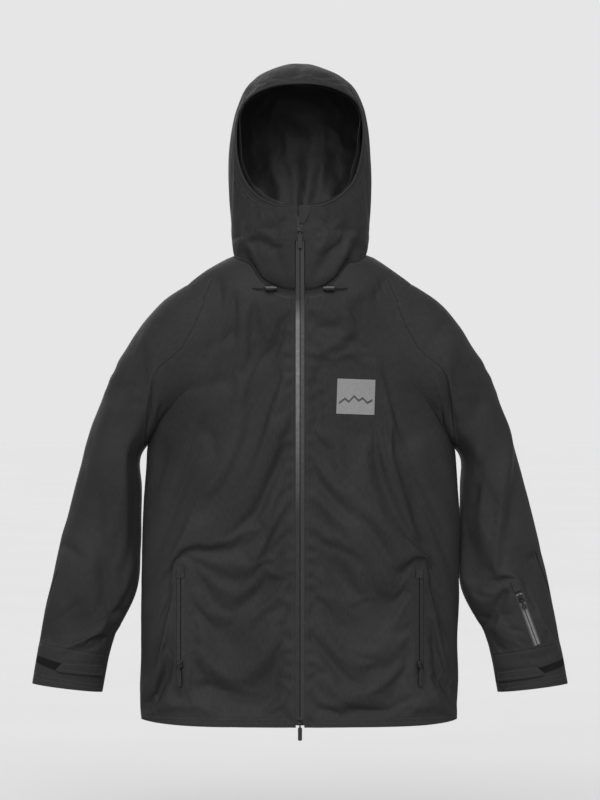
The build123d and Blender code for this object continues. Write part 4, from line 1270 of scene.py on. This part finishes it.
def dress_cuff(tree, side, name):
    """The cuff's tab, the pad that it closes on, and the forearm pocket's bag."""
    def outline(points, radius):
        return rounded_outline([(side * x, z) for x, z in points], radius)

    pad = laid_on(f"cuff_pad_pile_{name}", tree, outline(PADS[side], 1.5), 1.4 * MM, 1.4 * MM, PILE)
    place(pad, f"forearm_{name}", "hook_and_loop", f"cuff_pad_{name}")
    tab = laid_on(f"cuff_tab_cloth_{name}", tree, outline(TABS[side], 2.5), 4.0 * MM, 2.0 * MM, SHELL,
                  3 * MM, stitched=True)
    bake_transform(tab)
    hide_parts(f"cuff_tab_{name}")
    if side > 0:
        shape = rounded_outline([(362, -552), (420, -550), (443, -664), (392, -670)], 12)
        bag = laid_on("sleeve_pocket_lining", tree, shape, -9 * MM, THIN_CLOTH, LINING, 8 * MM)
        place(bag, f"forearm_{name}", "lining_fabric", "sleeve_pocket_bag")


def swept(name, line, section, material):
    """A strip or cord: section(share of the way) gives offsets across and up, carried along a line."""
    rows = []
    line = [Vector(p) for p in line]
    for i, at in enumerate(line):
        ahead = (line[min(i + 1, len(line) - 1)] - line[max(i - 1, 0)]).normalized()
        across = Vector((0, 1, 0))
        across = (across - ahead * across.dot(ahead)).normalized()
        up = ahead.cross(across)
        rows.append([at + across * u + up * v for u, v in section(i / (len(line) - 1))])
    points = np.array([[tuple(p) for p in row] for row in rows])
    size = sum((b - a).length for a, b in zip(line, line[1:]))
    girth = sum((rows[0][i] - rows[0][i - 1]).length for i in range(len(rows[0])))
    thing = cloth_mesh(name, points, (girth, size), closed=True)
    with opened(thing) as bm:
        bmesh.ops.holes_fill(bm, edges=[e for e in bm.edges if e.is_boundary], sides=0)
        bmesh.ops.recalc_face_normals(bm, faces=bm.faces[:])
    return finish_cloth(thing, material, 0, 0)


def make_cords():
    """The hood's cords, from each lock to its eyelet: braided, two sets of strands crossing."""
    ring = np.linspace(0, 2 * math.pi, 24, endpoint=False)

    def braid(share):
        strands = np.abs(np.sin(3 * ring + share * 26) * np.sin(3 * ring - share * 26))
        return [((1.16 + 0.16 * s) * MM * math.cos(t), (1.16 + 0.16 * s) * MM * math.sin(t))
                for s, t in zip(strands, ring)]

    for side, name in SIDES:
        low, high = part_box(f"hood_cord_{name}")
        near, far = (low.x, high.x) if side > 0 else (high.x, low.x)
        first, last = Vector((near, low.y + 1.3 * MM, -27 * MM)), Vector((far, high.y - 1.3 * MM, -26.6 * MM))
        line = [first.lerp(last, t) + Vector((0, -1.0 * MM, -0.8 * MM)) * math.sin(math.pi * t)
                for t in np.linspace(0, 1, 60)]
        cord = swept(f"hood_cord_braid_{name}", line, braid, WEBBING)
        place(cord, TORSO, "elastic_cord", f"hood_cord_{name}")


def make_loop():
    """The hanger loop: ribbed webbing with rounded selvedges, folded under at both feet."""
    section = [(-3.0, 0.55), (-2.7, 0.15), (2.7, 0.15), (3.0, 0.55), (3.0, 1.05), (2.7, 1.45), (-2.7, 1.45),
               (-3.0, 1.05)]

    def flat(share):
        rib = 0.06 * math.sin(share * 150)
        return [(u * MM, (v + (rib if v > 1.4 else 0)) * -MM) for u, v in section]

    arch = [Vector((-20 * MM * math.cos(t), 0, -14 * MM + 14 * MM * math.sin(t)))
            for t in np.linspace(0, math.pi, 120)]
    feet = [Vector((-20 * MM, 0, z * MM)) for z in (-19, -17, -15)]
    line = feet + arch + [Vector((-p.x, 0, p.z)) for p in reversed(feet)]
    place(swept("hanger_loop_webbing", line, flat, WEBBING), TORSO, "webbing", "hanger_loop")


def make_skirt():
    """The powder skirt: gathered onto elastic at its foot, plain where the stud stands."""
    share = np.linspace(0, 1, 34)
    angle = np.linspace(0.072, 2 * math.pi - 0.072, 421)
    half_width = ((264 - 28 * share) * MM)[:, None]
    half_depth = ((68.4 - 12.4 * share) * MM)[:, None]
    calm = 1 - np.exp(-(((angle - math.pi) / 0.10) ** 4))
    pleat = np.sin(angle * 58 + 2 * np.sin(angle * 5)) * calm
    depth = (share[:, None] ** 1.3) * 2.6 * MM * pleat[None, :]
    points = np.stack([(half_width + depth) * np.sin(angle), MID_Y - (half_depth + depth) * np.cos(angle),
                       np.broadcast_to(((-560 - 134 * share) * MM)[:, None], depth.shape)], axis=-1)
    skirt = cloth_mesh("powder_skirt_cloth", points, (1.1, 0.134))
    co = places(skirt)
    mark_seams(skirt, [(co[:, 2] + 676 * MM, co[:, 0] + co[:, 1], 0.5, 1)])
    finish_cloth(skirt, LINING, 0.8 * MM, 0)
    place(skirt, TORSO, "lining_fabric", "powder_skirt")


def make_inner_strips(hood_tree):
    """The storm flap behind the zip, the chin guard over its top end and the label in the neck."""
    flap_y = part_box("storm_flap")[0].y
    flap = [(-24, -783), (24, -783), (24, 95), (-24, 95)]
    storm = laid_on("storm_flap_cloth", None, rounded_outline(flap, 8), 0, CLOTH, LINING, 8 * MM, flap_y,
                    stitched=True)
    co = places(storm)
    wave = 0.7 * MM * np.sin(co[:, 2] / (19 * MM) + co[:, 0] / (9 * MM)) * np.abs(co[:, 0]) / (24 * MM)
    put(storm, co + wave[:, None] * [[0, 1, 0]])
    place(storm, TORSO, "lining_fabric", "storm_flap")
    low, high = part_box("chin_guard")
    x0, x1, z0, z1 = (value / MM for value in (low.x, high.x, low.z, high.z))
    outline = rounded_outline([(x0, z0 + 1), (x0 + 9, z0 + 1), (x1, z0 + 20), (x1, z1), (x0, z1)], 3)
    guard = laid_on("chin_guard_cloth", None, outline, 0, 1.6 * MM, SHELL, 2.5 * MM, low.y, stitched=True)
    co = places(guard)
    middle_x, middle_z = (low.x + high.x) / 2, (low.z + high.z) / 2
    round_ = ((co[:, 0] - middle_x) / (10 * MM)) ** 2 + ((co[:, 2] - middle_z) / (17 * MM)) ** 2
    free_edge = np.clip((co[:, 0] - low.x) / (19 * MM) - (co[:, 2] - low.z) / (33 * MM) + 0.4, 0, 1)
    put(guard, co + (0.5 * MM * round_ - 0.5 * MM - 1.8 * MM * free_edge)[:, None] * [[0, 1, 0]])
    place(guard, TORSO, "shell_fabric", "chin_guard")
    shape = rounded_outline([(-23, -53), (23, -53), (23, -23), (-23, -23)], 1.5)
    label = laid_on("neck_label_cloth", hood_tree, shape, 4.2 * MM, THIN_CLOTH, LABEL_WEAVE, 4 * MM, -0.06,
                    stitched=True)
    place(label, TORSO, "label_cloth", "neck_label")


def make_patch(tree):
    """The printed patch on the chest, with a plain ridge line across it."""
    turn = math.radians(2)

    def at(u, v):
        return 97 + u * math.cos(turn) + v * math.sin(turn), -215.5 - u * math.sin(turn) + v * math.cos(turn)

    square = [at(u, v) for u, v in ((-33, -30.5), (33, -30.5), (33, 30.5), (-33, 30.5))]
    patch = laid_on("chest_patch_print", tree, square, 0.7 * MM, 0.5 * MM, PATCH_INK)
    place(patch, TORSO, "patch_print", "chest_patch")
    ridge = [(-29, -12), (-19, -4), (-12, -9), (-3, 1), (5, -7), (12, -2), (20, -10), (29, -5)]
    outline = [at(u, v + 2.0) for u, v in ridge] + [at(u, v - 2.0) for u, v in reversed(ridge)]
    line = laid_on("chest_patch_ridge_line", tree, outline, 1.0 * MM, 0.4 * MM, DARK_INK)
    place(line, TORSO, "patch_print")


def dress(names, material):
    """Gives nodes that keep their shape a finished material."""
    for name in names:
        thing = NODES[name]
        thing.data.materials.clear()
        thing.data.materials.append(material)
        if "cloth" not in thing.data.uv_layers:
            layer = thing.data.uv_layers.new(name="cloth")
            loops = np.zeros(len(thing.data.loops), int)
            thing.data.loops.foreach_get("vertex_index", loops)
            layer.data.foreach_set("uv", places(thing)[loops][:, [0, 2]].ravel())


# ---------------------------------------------------------------- room


def studio():
    """A pale floor, soft light and the camera."""
    world = bpy.data.worlds.new("pale_room")
    bpy.context.scene.world = world
    world.use_nodes = True
    room = world.node_tree.nodes["Background"]
    room.inputs["Color"].default_value = srgb("#e6e6e6")
    room.inputs["Strength"].default_value = 1.0
    reach, z = 60.0, -1.05
    mesh = bpy.data.meshes.new("floor")
    mesh.from_pydata([(-reach, -reach, z), (reach, -reach, z), (reach, reach, z), (-reach, reach, z)], [],
                     [(0, 1, 2, 3)])
    floor = shown("floor", mesh)
    paint, principled = surface("matte_floor_paint", Roughness=0.95, Specular_IOR_Level=0.0)
    spots = add(paint, "TexNoise", {"Vector": add(paint, "TexCoord", out="Object"), "Scale": 1.5})
    colour = ramp(paint, spots, ((0.3, "#aaaaaa"), (0.7, "#acacac")))
    paint.node_tree.links.new(colour, principled.inputs["Base Color"])
    floor.data.materials.append(paint)
    lamps = (("window_light", 4.7, (0.06, 0.74, -0.5)), ("rear_light", 2.0, (0.2, -0.8, -0.45)))
    for name, energy, towards in lamps:
        sun = bpy.data.lights.new(name, "SUN")
        sun.energy = energy
        sun.angle = math.radians(60)
        shown(name, sun).rotation_euler = Vector(towards).to_track_quat("-Z", "Y").to_euler()
    camera = bpy.data.cameras.new("camera")
    shot = shown("camera", camera)
    distance, tall, middle_z = 6.0, 1.4, -0.2212
    shot.location = (0, FRONT_Y + 0.05 - distance, middle_z)
    shot.rotation_euler = (math.radians(90), 0, 0)
    camera.sensor_width = 36
    camera.lens = camera.sensor_width * distance / tall
    bpy.context.scene.camera = shot
    bpy.context.scene.view_settings.view_transform = "Standard"


def main():
    body = make_body()
    sleeves = {name: make_sleeve(side, name) for side, name in SIDES}
    hood = make_hood()
    body_tree = tree_of(body)
    sleeve_trees = {name: tree_of(sleeve) for name, sleeve in sleeves.items()}
    hood_tree = tree_of(hood)
    split_body(body, sleeve_trees, hood_tree)
    for side, name in SIDES:
        split_sleeve(sleeves[name], side, name, body_tree)
    finish_hood(hood, body_tree)
    make_hood_lining()
    make_lining()
    make_skirt()
    make_patch(tree_of(bpy.data.objects["front_shell_left"]))
    make_inner_strips(hood_tree)
    make_cords()
    make_loop()
    dress(["main_zip_tape_right"], ZIP_FILM)
    dress(["main_zip_tape_left", "hand_zip_left"], SHADED_FILM)
    dress(["hand_zip_right"], PAINTED_SHADE_FILM)
    dress(["sleeve_zip"], PAINTED_HIGHLIGHT_FILM)
    dress([n for n in NODES if "slider" in n], CAST_SLIDER)
    dress([n for n in NODES if "puller" in n], RUBBER)
    dress([n for n in NODES if "cord_lock" in n or "garage" in n or "eyelets" in n or "coil" in n], ACETAL)
    dress(["skirt_stud"], STEEL)
    studio()


main()
